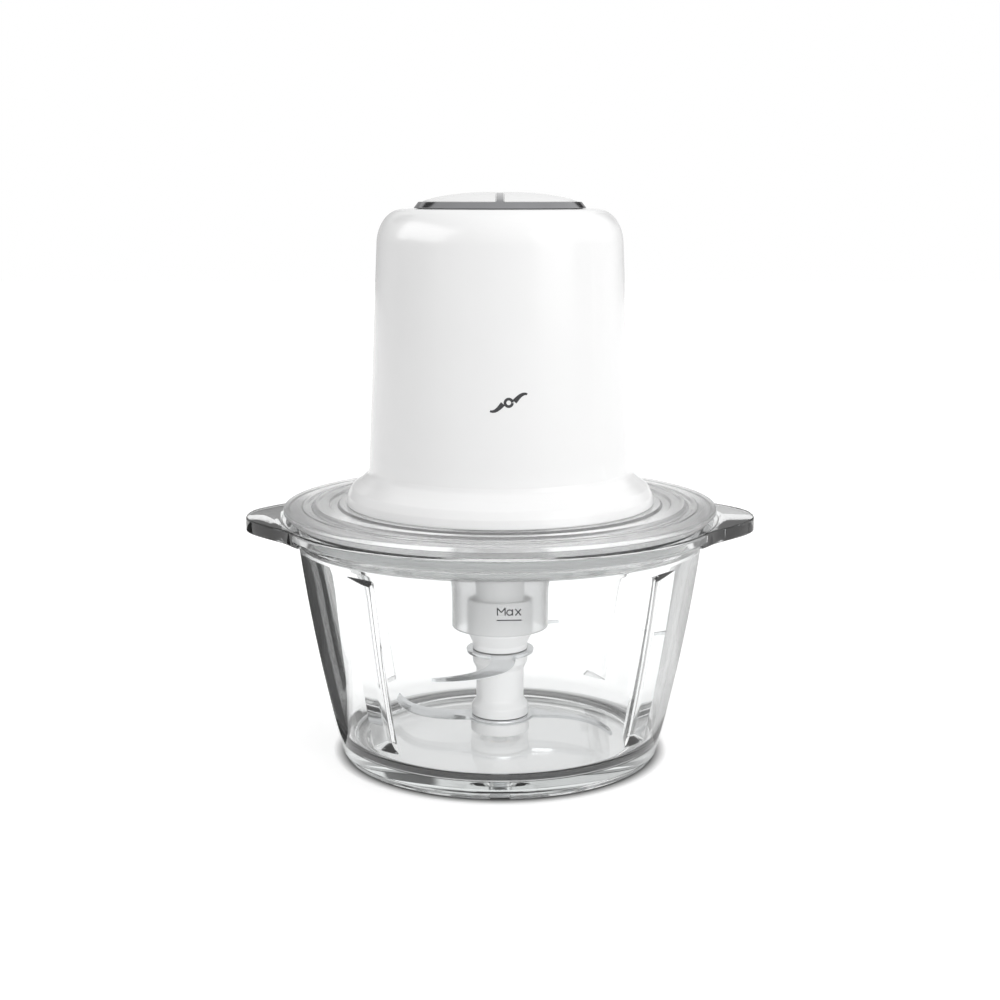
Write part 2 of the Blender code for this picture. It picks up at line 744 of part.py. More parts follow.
def build_stator():
    half_x, half_y, corner = 27.0, 30.0, 5.0
    outline = []
    for quarter in range(4):
        sign_x = (1, -1, -1, 1)[quarter]
        sign_y = (1, 1, -1, -1)[quarter]
        for step in range(4):
            angle = (quarter + step / 3) * math.pi / 2
            x = sign_x * (half_x - corner) + corner * math.cos(angle)
            y = sign_y * (half_y - corner) + corner * math.sin(angle)
            outline.append((x, y))
    window_x, window_y = 12.0, 23.0
    pole_angle = math.acos(window_x / STATOR_BORE_R)
    bore = []
    for middle, side in ((0.0, 1), (math.pi, -1)):
        for step in range(7):
            angle = middle + pole_angle * (step / 3 - 1)
            bore.append((STATOR_BORE_R * math.cos(angle), STATOR_BORE_R * math.sin(angle)))
        bore.append((side * window_x, side * window_y))
        bore.append((-side * window_x, side * window_y))
    flat("stator_core", [outline, bore], CORE_BOTTOM, CORE_TOP, CORE_STEEL)


def build_field_coil(name, side):
    """A winding round one pole: straight through the windows, bowed outwards over the core."""
    straight = [(6.0, 19.6, 184.5), (6.0, 19.6, 159.5)]
    end_turn = [(8.5, 19.0, 4.6), (15.5, 15.8, 6.5), (20.3, 9.0, 6.6), (21.8, 0.0, 6.6)]
    below = [(x, y, CORE_BOTTOM - rise + 2.0) for x, y, rise in end_turn]
    above = [(x, y, CORE_TOP + rise - 2.0) for x, y, rise in end_turn]
    half = list(reversed(above)) + straight + below
    other = [(x, -y, z) for x, y, z in reversed(half[1:-1])]
    path = [(side * x, y, z) for x, y, z in half + other]
    wire(name, path, 2.8, COPPER, cyclic=True)


def build_armature():
    cylinder("motor_shaft", SHAFT_R, 120.9, SHAFT_TOP, STEEL, PIN_SEGMENTS)
    slots = 12
    outline = []
    for tooth in range(slots):
        centre = TAU * tooth / slots
        half_tooth = [(11.5, 0.12), (14.0, 0.2), (ARMATURE_R, 0.2)]
        rising = [(radius, -offset) for radius, offset in half_tooth]
        for radius, offset in rising + [(ARMATURE_R, 0.0)] + list(reversed(half_tooth)):
            outline.append((radius * math.cos(centre + offset), radius * math.sin(centre + offset)))
    bore = circle(SHAFT_R + GAP, PIN_SEGMENTS)
    flat("armature_core", [outline, bore], CORE_BOTTOM, CORE_TOP, CORE_STEEL)
    height = 5.4
    bundle = [(6.0, height), (12.0, height), (14.2, 3.6), (14.2, 1.4), (13.0, 0.0), (4.0, 0.0), (4.0, 3.6)]
    above = [(r, CORE_TOP + GAP + z) for r, z in bundle]
    below = [(r, CORE_BOTTOM - GAP - z) for r, z in reversed(bundle)]
    turned("winding_top", above, COPPER, SMALL_SEGMENTS)
    turned("winding_bottom", below, COPPER, SMALL_SEGMENTS)
    tube("commutator", SHAFT_R + GAP, COMMUTATOR_R, 192.5, 204.2, BRASS, SMALL_SEGMENTS)


def build_fan():
    """A cooling fan: a disc with nine upright blades round its hub."""
    disc = tube("cooling_fan", SHAFT_R + GAP, 26.0, 143.0, 144.6, BLACK_PLASTIC, PLAIN_SEGMENTS)
    hub = tube("fan_hub", SHAFT_R + GAP, 5.2, 143.6, 150.8, None, PLAIN_SEGMENTS)
    join(disc, hub)
    for i in range(9):
        angle = TAU * i / 9
        centre = (15.2 * math.cos(angle), 15.2 * math.sin(angle), 146.7)
        vane = block(f"fan_vane_{i + 1}", (20.8, 1.4, 5.8), centre)
        vane.rotation_euler.z = angle
        join(disc, vane)


def build_end_bracket():
    profile = [
        (8.4, 213.8),
        (10.6, 213.8),
        (10.6, BRACKET_TOP),
        (25.0, BRACKET_TOP),
        (25.0, BRACKET_BOTTOM),
        (6.0, BRACKET_BOTTOM),
        (6.0, BRACKET_TOP),
        (8.4, BRACKET_TOP),
    ]
    bracket = turned("end_bracket", profile, GREY_PLASTIC, SMALL_SEGMENTS)
    for i, (x, y) in enumerate(corner_places(13.0, 26.0)):
        bottom = CORE_TOP + GAP
        centre = (x, y, (bottom + BRACKET_TOP) / 2)
        join(bracket, block(f"bracket_leg_{i + 1}", (5.0, 5.0, BRACKET_TOP - bottom), centre))
        arm = (x, y * 0.8, (BRACKET_BOTTOM + BRACKET_TOP) / 2)
        join(bracket, block(f"bracket_arm_{i + 1}", (4.0, 12.0, 2.6), arm))


def build_brushes():
    for side, label in ((-1, "left"), (1, "right")):
        holder = block(f"brush_holder_{label}", (13.0, 9.4, 9.4), (side * 17.5, 0.0, 199.8), BRASS)
        cut(holder, block(f"brush_channel_{label}", (30.0, 5.8, 5.8), (side * 17.5, 0.0, BRUSH_Z + 1.3)))
        block(f"carbon_brush_{label}", (12.0, 5.0, 5.0), (side * 14.6, 0.0, BRUSH_Z + 1.3), CARBON)


def build_electronics():
    board = block("control_board", (32.0, 1.6, 34.0), (0.0, 36.8, 172.0), BOARD_GREEN)
    for x in (-13.0, 13.0):
        hole = cylinder(f"board_hole_{x:.0f}", 1.5, 30.0, 42.0, None, PIN_SEGMENTS)
        hole.rotation_euler = (-math.pi / 2, 0.0, 0.0)
        hole.location = (x * MM, 0.0, 185.0 * MM)
        cut(board, hole)
    block("suppression_capacitor", (18.0, 8.0, 14.0), (0.0, 42.0, 170.0), CAPACITOR_YELLOW, 1.0)


# Blade assembly


def build_blade_hub():
    """The hub: a cup for the coupler on top, a long sleeve and a groove for each blade."""
    groove_r = BLADE_HOLE_R - GAP
    profile = [
        (0.0, HUB_CUP_FLOOR),
        (HUB_CUP_R, HUB_CUP_FLOOR),
        (HUB_CUP_R, HUB_TOP - 1.4),
        (HUB_CUP_R + 1.0, HUB_TOP),
        (HUB_R - 0.8, HUB_TOP),
        (HUB_R, HUB_TOP - 0.8),
        (HUB_R, 53.5),
        (12.2, 48.5),
        (12.2, UPPER_BLADE_Z + BLADE_THICKNESS + GAP),
        (groove_r, UPPER_BLADE_Z + BLADE_THICKNESS + GAP),
        (groove_r, UPPER_BLADE_Z - GAP),
        (12.2, UPPER_BLADE_Z - GAP),
        (12.2, 40.0),
        (10.6, 37.0),
        (10.6, 23.0),
        (12.6, 20.0),
        (12.6, LOWER_BLADE_Z + BLADE_THICKNESS + GAP),
        (groove_r, LOWER_BLADE_Z + BLADE_THICKNESS + GAP),
        (groove_r, LOWER_BLADE_Z - GAP),
        (13.0, LOWER_BLADE_Z - GAP),
        (13.0, 8.2),
        (9.4, 8.2),
        (7.4, 11.6),
        (HUB_BORE_R, 11.6),
        (HUB_BORE_R, HUB_BORE_TOP),
        (0.0, HUB_BORE_TOP),
    ]
    hub = turned("blade_hub", profile, WHITE_SATIN, PLAIN_SEGMENTS, closed=False)
    socket = cylinder("hub_socket", COUPLER_HEX_R + 0.5, COUPLER_BOTTOM - 0.6, HUB_CUP_FLOOR + 2.0, None, 6)
    cut(hub, socket)
    tube("hub_bush", SPINDLE_R + GAP, HUB_BORE_R - GAP, 12.0, 45.5, BRASS)


def blade_arm():
    """One swept arm: the cutting edge leads, and the back edge curves in to the tip."""
    steps = 9
    leading, trailing = [], []
    for i in range(steps + 1):
        t = i / steps
        radius = 15.0 + (BLADE_R - 15.0) * t
        sweep = -0.62 * t * t
        width = 11.0 - 3.4 * t - 5.2 * t ** 6
        lead = math.asin(min(0.7, 6.8 / radius)) + sweep
        trail = lead - width / radius
        leading.append((radius * math.cos(lead), radius * math.sin(lead)))
        trailing.append((radius * math.cos(trail), radius * math.sin(trail)))
    return trailing + list(reversed(leading))


def build_blade(name, bottom, turn):
    """A two-armed blade with a hole for the hub."""
    arm = blade_arm()
    end_angle = math.atan2(arm[-1][1], arm[-1][0])
    start_angle = math.atan2(arm[0][1], arm[0][0]) + math.pi
    ring = [end_angle + (start_angle - end_angle) * step / 6 for step in range(1, 6)]
    side = [(15.0 * math.cos(a), 15.0 * math.sin(a)) for a in ring]
    outline = arm + side + turn_points(arm + side, math.pi)
    hole = circle(BLADE_HOLE_R, PLAIN_SEGMENTS)
    flat(name, [turn_points(outline, turn), hole], bottom, bottom + BLADE_THICKNESS, STEEL)


def build_blade_assembly():
    build_blade_hub()
    build_blade("lower_blade", LOWER_BLADE_Z, 0.0)
    build_blade("upper_blade", UPPER_BLADE_Z, math.pi / 2)


# Assembly


def build_buttons():
    for side, label in ((-1, "left"), (1, "right")):
        build_button(f"button_{label}", side)
        build_button_spring(f"button_spring_{label}", side)
    build_button_divider()
    build_switches()


def build_gear_train():
    build_sun_gear()
    build_planet_gears()
    build_ring_gear()
    build_carrier()
    build_output_shaft()
    build_drive_coupler()
    build_gearbox()
    build_bearings()


def build_motor():
    build_stator()
    build_field_coil("field_coil_left", -1)
    build_field_coil("field_coil_right", 1)
    build_armature()
    build_fan()
    build_end_bracket()
    build_brushes()
    build_electronics()


def build_shell():
    build_motor_housing()
    build_base_collar()
    build_bezel_ring()
    build_base_plate()
    build_base_screws()
    build_cord_gland()


build_bowl()
build_lid()
build_shell()
build_buttons()
build_gear_train()
build_motor()
build_blade_assembly()
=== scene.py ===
"""The mini chopper's looks: fine meshes over the frame, procedural materials and a soft white studio."""

import json
import math

import bmesh
import bpy
from mathutils import Matrix, Vector


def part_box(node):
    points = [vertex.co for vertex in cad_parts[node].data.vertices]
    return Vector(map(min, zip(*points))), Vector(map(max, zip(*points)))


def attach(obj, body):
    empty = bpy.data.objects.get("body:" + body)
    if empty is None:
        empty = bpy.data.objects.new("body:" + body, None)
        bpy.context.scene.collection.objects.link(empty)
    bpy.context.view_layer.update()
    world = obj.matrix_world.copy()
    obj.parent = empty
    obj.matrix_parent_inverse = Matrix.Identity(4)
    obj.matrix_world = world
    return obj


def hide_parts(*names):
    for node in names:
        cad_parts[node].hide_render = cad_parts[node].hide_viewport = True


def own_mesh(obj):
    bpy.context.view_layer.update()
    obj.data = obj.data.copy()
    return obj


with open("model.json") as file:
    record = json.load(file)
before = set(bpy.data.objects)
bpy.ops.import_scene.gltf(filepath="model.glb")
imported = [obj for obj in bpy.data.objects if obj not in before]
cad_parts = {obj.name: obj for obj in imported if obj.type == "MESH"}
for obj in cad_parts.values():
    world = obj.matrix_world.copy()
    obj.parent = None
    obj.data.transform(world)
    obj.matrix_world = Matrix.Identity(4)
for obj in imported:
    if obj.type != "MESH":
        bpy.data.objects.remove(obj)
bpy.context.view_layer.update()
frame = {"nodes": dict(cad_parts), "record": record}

MM = 0.001
TAU = 2 * math.pi
FINE = 160
MEDIUM = 96
SMALL = 48


# Places taken from the frame, in millimetres


def node_box(node):
    low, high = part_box(node)
    return low / MM, high / MM


def radius_of(node):
    return node_box(node)[1].x


def top_of(node):
    return node_box(node)[1].z


def bottom_of(node):
    return node_box(node)[0].z


RIM_R = node_box("bowl")[1].y
RIM_TOP = top_of("bowl")
EAR_TIP = node_box("bowl")[1].x
LID_R = radius_of("lid")
SEAM_Z = bottom_of("motor_housing")
HOUSING_TOP = top_of("motor_housing")
HOUSING_FOOT_R = radius_of("motor_housing")
COLLAR_R = radius_of("base_collar")
COLLAR_BOTTOM = bottom_of("base_collar")
BUTTON_R = node_box("button_left")[1].y
BUTTON_TOP = top_of("button_left")


# Mesh helpers


def linked(name, mesh):
    obj = bpy.data.objects.new(name, mesh)
    bpy.context.scene.collection.objects.link(obj)
    return obj


def from_bmesh(name, shape):
    bmesh.ops.remove_doubles(shape, verts=shape.verts, dist=1e-7)
    bmesh.ops.recalc_face_normals(shape, faces=shape.faces)
    mesh = bpy.data.meshes.new(name)
    shape.to_mesh(mesh)
    shape.free()
    return linked(name, mesh)


def smooth(obj, angle=32):
    mesh = obj.data
    mesh.polygons.foreach_set("use_smooth", [True] * len(mesh.polygons))
    mesh.set_sharp_from_angle(angle=math.radians(angle))
    return obj


def rounded(points, steps=6, closed=True):
    """A profile of (radius, height) or (radius, height, fillet) with the fillets drawn as arcs."""
    out = []
    count = len(points)
    for i, point in enumerate(points):
        here = Vector(point[:2])
        fillet = point[2] if len(point) > 2 else 0.0
        ends = not closed and i in (0, count - 1)
        if not fillet or ends:
            out.append(tuple(here))
            continue
        before = Vector(points[i - 1][:2]) - here
        after = Vector(points[(i + 1) % count][:2]) - here
        half = before.angle(after) / 2
        reach = min(fillet / math.tan(half), before.length * 0.49, after.length * 0.49)
        start = here + before.normalized() * reach
        end = here + after.normalized() * reach
        for step in range(steps + 1):
            t = step / steps
            out.append(tuple(start.lerp(here, t).lerp(here.lerp(end, t), t)))
    return out


def turned(name, profile, segments=FINE, closed=True):
    """The profile, in millimetres, turned about the Z axis as a closed solid."""
    shape = bmesh.new()
    rings = []
    for radius, height in profile:
        if radius < 1e-6:
            rings.append([shape.verts.new((0.0, 0.0, height * MM))])
            continue
        ring = []
        for i in range(segments):
            angle = TAU * i / segments
            x, y = radius * math.cos(angle), radius * math.sin(angle)
            ring.append(shape.verts.new((x * MM, y * MM, height * MM)))
        rings.append(ring)
    pairs = list(zip(rings, rings[1:]))
    if closed:
        pairs.append((rings[-1], rings[0]))
    for upper, lower in pairs:
        if len(upper) == 1 and len(lower) == 1:
            continue
        for i in range(segments):
            j = (i + 1) % segments
            here = [upper[i % len(upper)], lower[i % len(lower)]]
            beyond = [lower[j % len(lower)], upper[j % len(upper)]]
            shape.faces.new(list(dict.fromkeys(here + beyond)))
    return from_bmesh(name, shape)


def prism(name, outline, bottom, top):
    """The outline extruded between two heights."""
    shape = bmesh.new()
    lower = [shape.verts.new((x * MM, y * MM, bottom * MM)) for x, y in outline]
    upper = [shape.verts.new((x * MM, y * MM, top * MM)) for x, y in outline]
    shape.faces.new(lower[::-1])
    shape.faces.new(upper)
    for i in range(len(outline)):
        j = (i + 1) % len(outline)
        shape.faces.new((lower[i], lower[j], upper[j], upper[i]))
    return from_bmesh(name, shape)


def circle(radius, segments, centre=(0.0, 0.0), phase=0.0):
    angles = [phase + TAU * i / segments for i in range(segments)]
    return [(centre[0] + radius * math.cos(a), centre[1] + radius * math.sin(a)) for a in angles]


def apply_modifiers(obj):
    graph = bpy.context.evaluated_depsgraph_get()
    mesh = bpy.data.meshes.new_from_object(obj.evaluated_get(graph))
    obj.modifiers.clear()
    obj.data = mesh
    return obj


def round_edges(obj, width, segments=3, angle=35):
    bevel = obj.modifiers.new("Bevel", "BEVEL")
    bevel.width = width * MM
    bevel.segments = segments
    bevel.limit_method = "ANGLE"
    bevel.angle_limit = math.radians(angle)
    bevel.harden_normals = False
    return apply_modifiers(obj)


def boolean(obj, others, operation):
    for other in others:
        modifier = obj.modifiers.new(other.name, "BOOLEAN")
        modifier.operation = operation
        modifier.solver = "EXACT"
        modifier.object = other
    apply_modifiers(obj)
    for other in others:
        bpy.data.objects.remove(other, do_unlink=True)
    return obj


def join(obj, *others):
    return boolean(obj, others, "UNION")


def cut(obj, *others):
    return boolean(obj, others, "DIFFERENCE")


def place(obj, body, slot, material, *nodes):
    """Gives the piece its finish and its body, and hides the CAD nodes that it stands for."""
    obj.data.materials.clear()
    obj.data.materials.append(material)
    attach(obj, body)
    if nodes:
        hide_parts(*nodes)
    return obj


# Material helpers


class Nodes:
    """A short way to write a node tree on one Principled shader."""

    def __init__(self, name, color, roughness, metallic=0.0):
        self.material = bpy.data.materials.new(name)
        self.material.use_nodes = True
        self.tree = self.material.node_tree
        self.shader = self.tree.nodes["Principled BSDF"]
        self.set("Base Color", (*color, 1.0))
        self.set("Roughness", roughness)
        self.set("Metallic", metallic)
        self.coordinates = self.add("ShaderNodeTexCoord").outputs["Object"]

    def set(self, socket, value):
        self.shader.inputs[socket].default_value = value

    def add(self, kind, **settings):
        node = self.tree.nodes.new(kind)
        for key, value in settings.items():
            setattr(node, key, value)
        return node

    def link(self, output, target):
        self.tree.links.new(output, target)

    def noise(self, scale, detail=3.0, stretch=(1.0, 1.0, 1.0)):
        mapping = self.add("ShaderNodeMapping")
        mapping.inputs["Scale"].default_value = stretch
        self.link(self.coordinates, mapping.inputs["Vector"])
        texture = self.add("ShaderNodeTexNoise")
        texture.inputs["Scale"].default_value = scale
        texture.inputs["Detail"].default_value = detail
        self.link(mapping.outputs["Vector"], texture.inputs["Vector"])
        return texture.outputs["Fac"]

    def remap(self, source, low, high, start=0.3, end=0.7):
        node = self.add("ShaderNodeMapRange")
        node.inputs["From Min"].default_value = start
        node.inputs["From Max"].default_value = end
        node.inputs["To Min"].default_value = low
        node.inputs["To Max"].default_value = high
        self.link(source, node.inputs["Value"])
        return node.outputs["Result"]

    def vary_roughness(self, source, low, high):
        self.link(self.remap(source, low, high), self.shader.inputs["Roughness"])

    def mix_color(self, factor, first, second):
        node = self.add("ShaderNodeMix", data_type="RGBA")
        node.inputs["A"].default_value = (*first, 1.0)
        node.inputs["B"].default_value = (*second, 1.0)
        self.link(factor, node.inputs["Factor"])
        return node.outputs["Result"]

    def vary_color(self, source, first, second, start=0.3, end=0.7):
        factor = self.remap(source, 0.0, 1.0, start, end)
        self.link(self.mix_color(factor, first, second), self.shader.inputs["Base Color"])

    def edges(self):
        """1 on convex edges, where handling polishes or scuffs a surface."""
        geometry = self.add("ShaderNodeNewGeometry")
        return self.remap(geometry.outputs["Pointiness"], 0.0, 1.0, 0.51, 0.6)

    def wear(self, color, amount):
        """Mixes a worn colour in on the edges, over whatever already feeds the base colour."""
        socket = self.shader.inputs["Base Color"]
        source = socket.links[0].from_socket
        node = self.add("ShaderNodeMix", data_type="RGBA")
        scaled = self.add("ShaderNodeMath", operation="MULTIPLY")
        scaled.inputs[1].default_value = amount
        self.link(self.edges(), scaled.inputs[0])
        self.link(scaled.outputs["Value"], node.inputs["Factor"])
        self.link(source, node.inputs["A"])
        node.inputs["B"].default_value = (*color, 1.0)
        self.link(node.outputs["Result"], socket)

    def bump(self, source, strength, distance=0.0002):
        node = self.add("ShaderNodeBump")
        node.inputs["Strength"].default_value = strength
        node.inputs["Distance"].default_value = distance
        self.link(source, node.inputs["Height"])
        self.link(node.outputs["Normal"], self.shader.inputs["Normal"])


def shade(color, factor):
    return tuple(min(1.0, channel * factor) for channel in color)


def plastic(name, color, roughness, coat=0.0, grain=900.0, strength=0.05):
    """Moulded plastic: slight mottling, fine grain and a little unevenness in the gloss."""
    nodes = Nodes(name, color, roughness)
    nodes.vary_color(nodes.noise(14.0, 4.0), shade(color, 0.985), shade(color, 1.01))
    nodes.wear(shade(color, 1.08), 0.35)
    nodes.vary_roughness(nodes.noise(55.0, 5.0), roughness * 0.82, roughness * 1.22)
    nodes.bump(nodes.noise(grain, 2.0), strength)
    nodes.set("Coat Weight", coat)
    nodes.set("Coat Roughness", 0.06)
    nodes.set("IOR", 1.49)
    return nodes.material


def metal(name, color, roughness, stretch=(1.0, 1.0, 1.0), strength=0.12, scale=700.0):
    """Metal with drawn or ground marks along one direction."""
    nodes = Nodes(name, color, roughness, 1.0)
    marks = nodes.noise(scale, 4.0, stretch)
    nodes.vary_color(nodes.noise(40.0, 4.0), shade(color, 0.9), shade(color, 1.06))
    nodes.wear(shade(color, 1.3), 0.5)
    nodes.vary_roughness(marks, roughness * 0.75, roughness * 1.35)
    nodes.bump(marks, strength, 0.0001)
    return nodes.material


def clear(name, color, low, high, ior, ripple, transmission=1.0):
    """Clear glass or plastic: faint ripple, and gloss that varies as on a handled surface."""
    nodes = Nodes(name, color, low)
    nodes.vary_roughness(nodes.noise(30.0, 4.0), low, high)
    nodes.vary_color(nodes.noise(8.0, 2.0), color, shade(color, 0.985))
    nodes.bump(nodes.noise(18.0, 2.0), ripple, 0.0004)
    nodes.set("IOR", ior)
    nodes.set("Transmission Weight", transmission)
    return nodes


def absorbing(nodes, color, density):
    """Thick glass takes a little light along its length, so rims and edges look deeper."""
    volume = nodes.add("ShaderNodeVolumeAbsorption")
    volume.inputs["Color"].default_value = (*color, 1.0)
    volume.inputs["Density"].default_value = density
    nodes.link(volume.outputs["Volume"], nodes.tree.nodes["Material Output"].inputs["Volume"])
    return nodes.material


def copper_windings():
    nodes = Nodes("winding_copper", (0.62, 0.25, 0.1), 0.35, 1.0)
    wave = nodes.add("ShaderNodeTexWave", wave_type="BANDS", bands_direction="Z")
    wave.inputs["Scale"].default_value = 420.0
    wave.inputs["Distortion"].default_value = 1.2
    nodes.link(nodes.coordinates, wave.inputs["Vector"])
    nodes.vary_color(wave.outputs["Fac"], (0.42, 0.15, 0.05), (0.72, 0.32, 0.14))
    nodes.bump(wave.outputs["Fac"], 0.5, 0.0003)
    nodes.set("Coat Weight", 0.4)
    return nodes.material


def laminated_steel():
    nodes = Nodes("core_steel", (0.3, 0.31, 0.33), 0.45, 1.0)
    wave = nodes.add("ShaderNodeTexWave", wave_type="BANDS", bands_direction="Z")
    wave.inputs["Scale"].default_value = 620.0
    nodes.link(nodes.coordinates, wave.inputs["Vector"])
    nodes.vary_color(wave.outputs["Fac"], (0.2, 0.2, 0.22), (0.36, 0.37, 0.39))
    nodes.vary_roughness(nodes.noise(90.0, 4.0), 0.35, 0.6)
    nodes.bump(wave.outputs["Fac"], 0.4, 0.0002)
    return nodes.material


def circuit_board():
    nodes = Nodes("board_green", (0.05, 0.24, 0.11), 0.4)
    cells = nodes.add("ShaderNodeTexVoronoi", feature="DISTANCE_TO_EDGE")
    cells.inputs["Scale"].default_value = 260.0
    nodes.link(nodes.coordinates, cells.inputs["Vector"])
    nodes.vary_color(cells.outputs["Distance"], (0.12, 0.4, 0.2), (0.03, 0.19, 0.08), 0.05, 0.12)
    nodes.vary_roughness(nodes.noise(60.0), 0.3, 0.5)
    return nodes.material


def ink(name, color):
    nodes = Nodes(name, color, 0.4)
    nodes.vary_color(nodes.noise(800.0, 4.0), shade(color, 0.9), shade(color, 1.12))
    nodes.vary_roughness(nodes.noise(300.0), 0.32, 0.5)
    return nodes.material


GLASS_TINT = (0.35, 0.4, 0.39)
GLASS_DENSITY = 4.0
GLASS = clear("clear_glass", (0.985, 0.99, 0.99), 0.0, 0.012, 1.5, 0.03)

MATERIALS = {
    "clear_glass": absorbing(GLASS, GLASS_TINT, GLASS_DENSITY),
    "clear_plastic": clear("clear_plastic", (0.985, 0.988, 0.99), 0.14, 0.22, 1.46, 0.05, 0.86).material,
    "silicone": plastic("silicone", (0.8, 0.81, 0.81), 0.5, 0.0, 1400.0, 0.08),
    "white_gloss": plastic("white_gloss", (0.87, 0.87, 0.87), 0.22, 0.1, 1100.0, 0.02),
    "white_satin": plastic("white_satin", (0.93, 0.93, 0.93), 0.36, 0.0, 1300.0, 0.05),
    "chrome": metal("chrome", (0.27, 0.272, 0.28), 0.14, (1.0, 1.0, 8.0), 0.05, 500.0),
    "blade_steel": metal("blade_steel", (0.66, 0.67, 0.68), 0.2, (1.0, 14.0, 1.0), 0.12, 420.0),
    "core_steel": laminated_steel(),
    "winding_copper": copper_windings(),
    "brass": metal("brass", (0.72, 0.54, 0.24), 0.3, (1.0, 1.0, 12.0), 0.1),
    "carbon": plastic("carbon", (0.035, 0.035, 0.037), 0.65, 0.0, 1500.0, 0.3),
    "black_plastic": plastic("black_plastic", (0.03, 0.03, 0.03), 0.42, 0.0, 1200.0, 0.1),
    "grey_plastic": plastic("grey_plastic", (0.3, 0.31, 0.32), 0.48, 0.0, 1100.0, 0.1),
    "gear_nylon": plastic("gear_nylon", (0.78, 0.76, 0.67), 0.4, 0.0, 900.0, 0.08),
    "board_green": circuit_board(),
    "capacitor_yellow": plastic("capacitor_yellow", (0.78, 0.53, 0.06), 0.35, 0.2),
    "black_rubber": plastic("black_rubber", (0.02, 0.02, 0.021), 0.75, 0.0, 1000.0, 0.25),
}
PRINT_GREY = ink("print_grey", (0.035, 0.035, 0.038))


def finish_frame_nodes():
    """Every CAD node takes the procedural material of its slot."""
    for entry in frame["record"]["subparts"]:
        node = frame["nodes"][entry["node"]]
        node.data.materials.clear()
        node.data.materials.append(MATERIALS[entry["material_slot"]])


# Bowl


WALL = 4.0
EAR_BOTTOM, EAR_TOP = 99.8, 105.8
EAR_ROUNDING = 2.7
RIB_AZIMUTHS = (-41.5, 52.0, 138.5, 232.0)
RIB_WALL_BOTTOM, RIB_WALL_TOP = 14.0, 93.1
RIB_EDGE_BOTTOM, RIB_EDGE_TOP = 20.0, 89.0
RIB_HALF_WIDTH = 9.5
RIB_DEPTH = 5.4


def wall_radius(z):
    """The outer radius of the bowl's slightly curved, flaring wall."""
    return 70.1 + 0.252 * z - 0.00065 * z * z


def bowl_body():
    inner_heights = [15.0 + 6.0 * i for i in range(13)]
    inner = [(wall_radius(z) - WALL, z) for z in inner_heights]
    outer = [(wall_radius(z), z) for z in reversed([8.0 + 6.4 * i for i in range(14)])]
    profile = [
        (0.0, 4.2),
        (3.3, 4.2),
        (3.3, 11.0, 0.3),
        (6.0, 11.0, 1.2),
        (8.6, 7.0, 1.2),
        (64.5, 7.0, 7.0),
        (wall_radius(12.0) - WALL - 0.2, 12.0, 6.0),
        *inner,
        (RIM_R - 12.0, 94.0, 4.0),
        (RIM_R - 12.0, RIM_TOP, 0.9),
        (RIM_R, RIM_TOP, 1.4),
        (RIM_R, 101.9, 1.2),
        (93.4, 99.9, 2.0),
        (wall_radius(97.0) + 0.1, 96.6, 2.5),
        *outer,
        (wall_radius(2.4), 2.4, 1.0),
        (69.4, 0.0, 1.2),
        (60.5, 0.0, 0.8),
        (59.0, 1.5, 1.0),
        (0.0, 1.5),
    ]
    return turned("glass_bowl", rounded(profile, 6, closed=False), FINE, closed=False)


def bowl_ear(side):
    """One flat ear: a blunt rounded tip, straight flanks and a concave blend into the rim."""
    control = [(EAR_TIP, 0.0), (EAR_TIP - 0.8, 7.5), (108.5, 13.4), (104.8, 19.0), (99.5, 25.2)]
    control += [(94.0, 31.3), (90.0, 36.3), (87.0, 41.0), (84.0, 45.5)]
    front = []
    for i in range(len(control) - 1):
        before = Vector(control[max(i - 1, 0)])
        start, end = Vector(control[i]), Vector(control[i + 1])
        after = Vector(control[min(i + 2, len(control) - 1)])
        for step in range(5):
            t = step / 5
            square = 2 * before - 5 * start + 4 * end - after
            cube = 3 * start - before - 3 * end + after
            bend = (2 * start + (end - before) * t + square * t * t + cube * t ** 3) / 2
            front.append((min(bend.x, EAR_TIP), bend.y))
    front += [(84.0, 45.5), (79.0, 43.0), (87.0, 22.0)]
    outline = front + [(x, -y) for x, y in reversed(front[1:])]
    ear = prism(f"ear_{side}", [(side * x, y) for x, y in outline], EAR_BOTTOM, EAR_TOP)
    return round_edges(ear, EAR_ROUNDING, 8, 60)


def bowl_rib(azimuth):
    """One upright rib: sloping flanks, a narrow inner edge and a slanted top."""
    angle = math.radians(azimuth)
    outward = Vector((math.sin(angle), -math.cos(angle)))
    along = Vector((math.cos(angle), math.sin(angle)))
    shape = bmesh.new()
    sections = []
    levels = 12
    for i in range(levels + 1):
        t = i / levels
        wall_z = RIB_WALL_BOTTOM + (RIB_WALL_TOP - RIB_WALL_BOTTOM) * t
        edge_z = RIB_EDGE_BOTTOM + (RIB_EDGE_TOP - RIB_EDGE_BOTTOM) * t
        wall_r = wall_radius(wall_z) - WALL / 2
        edge_r = wall_radius(edge_z) - WALL - RIB_DEPTH - t
        half_edge = 1.5 + 0.5 * t
        row = []
        base = [(wall_r, -RIB_HALF_WIDTH, wall_z), (wall_r, RIB_HALF_WIDTH, wall_z)]
        crest = [(edge_r, half_edge, edge_z), (edge_r, -half_edge, edge_z)]
        for reach, offset, z in base + crest:
            point = outward * reach + along * offset
            row.append(shape.verts.new((point.x * MM, point.y * MM, z * MM)))
        sections.append(row)
    shape.faces.new(sections[0][::-1])
    shape.faces.new(sections[-1])
    for lower, upper in zip(sections, sections[1:]):
        for i in range(4):
            j = (i + 1) % 4
            shape.faces.new((lower[i], lower[j], upper[j], upper[i]))
    return round_edges(from_bmesh(f"rib_{azimuth:.0f}", shape), 0.6, 3, 25)


def foot_drain(side):
    outline = [(-4.0, side * 58.0), (4.0, side * 58.0), (4.0, side * 78.0), (-4.0, side * 78.0)]
    return prism(f"drain_{side}", outline, -2.0, 1.2)


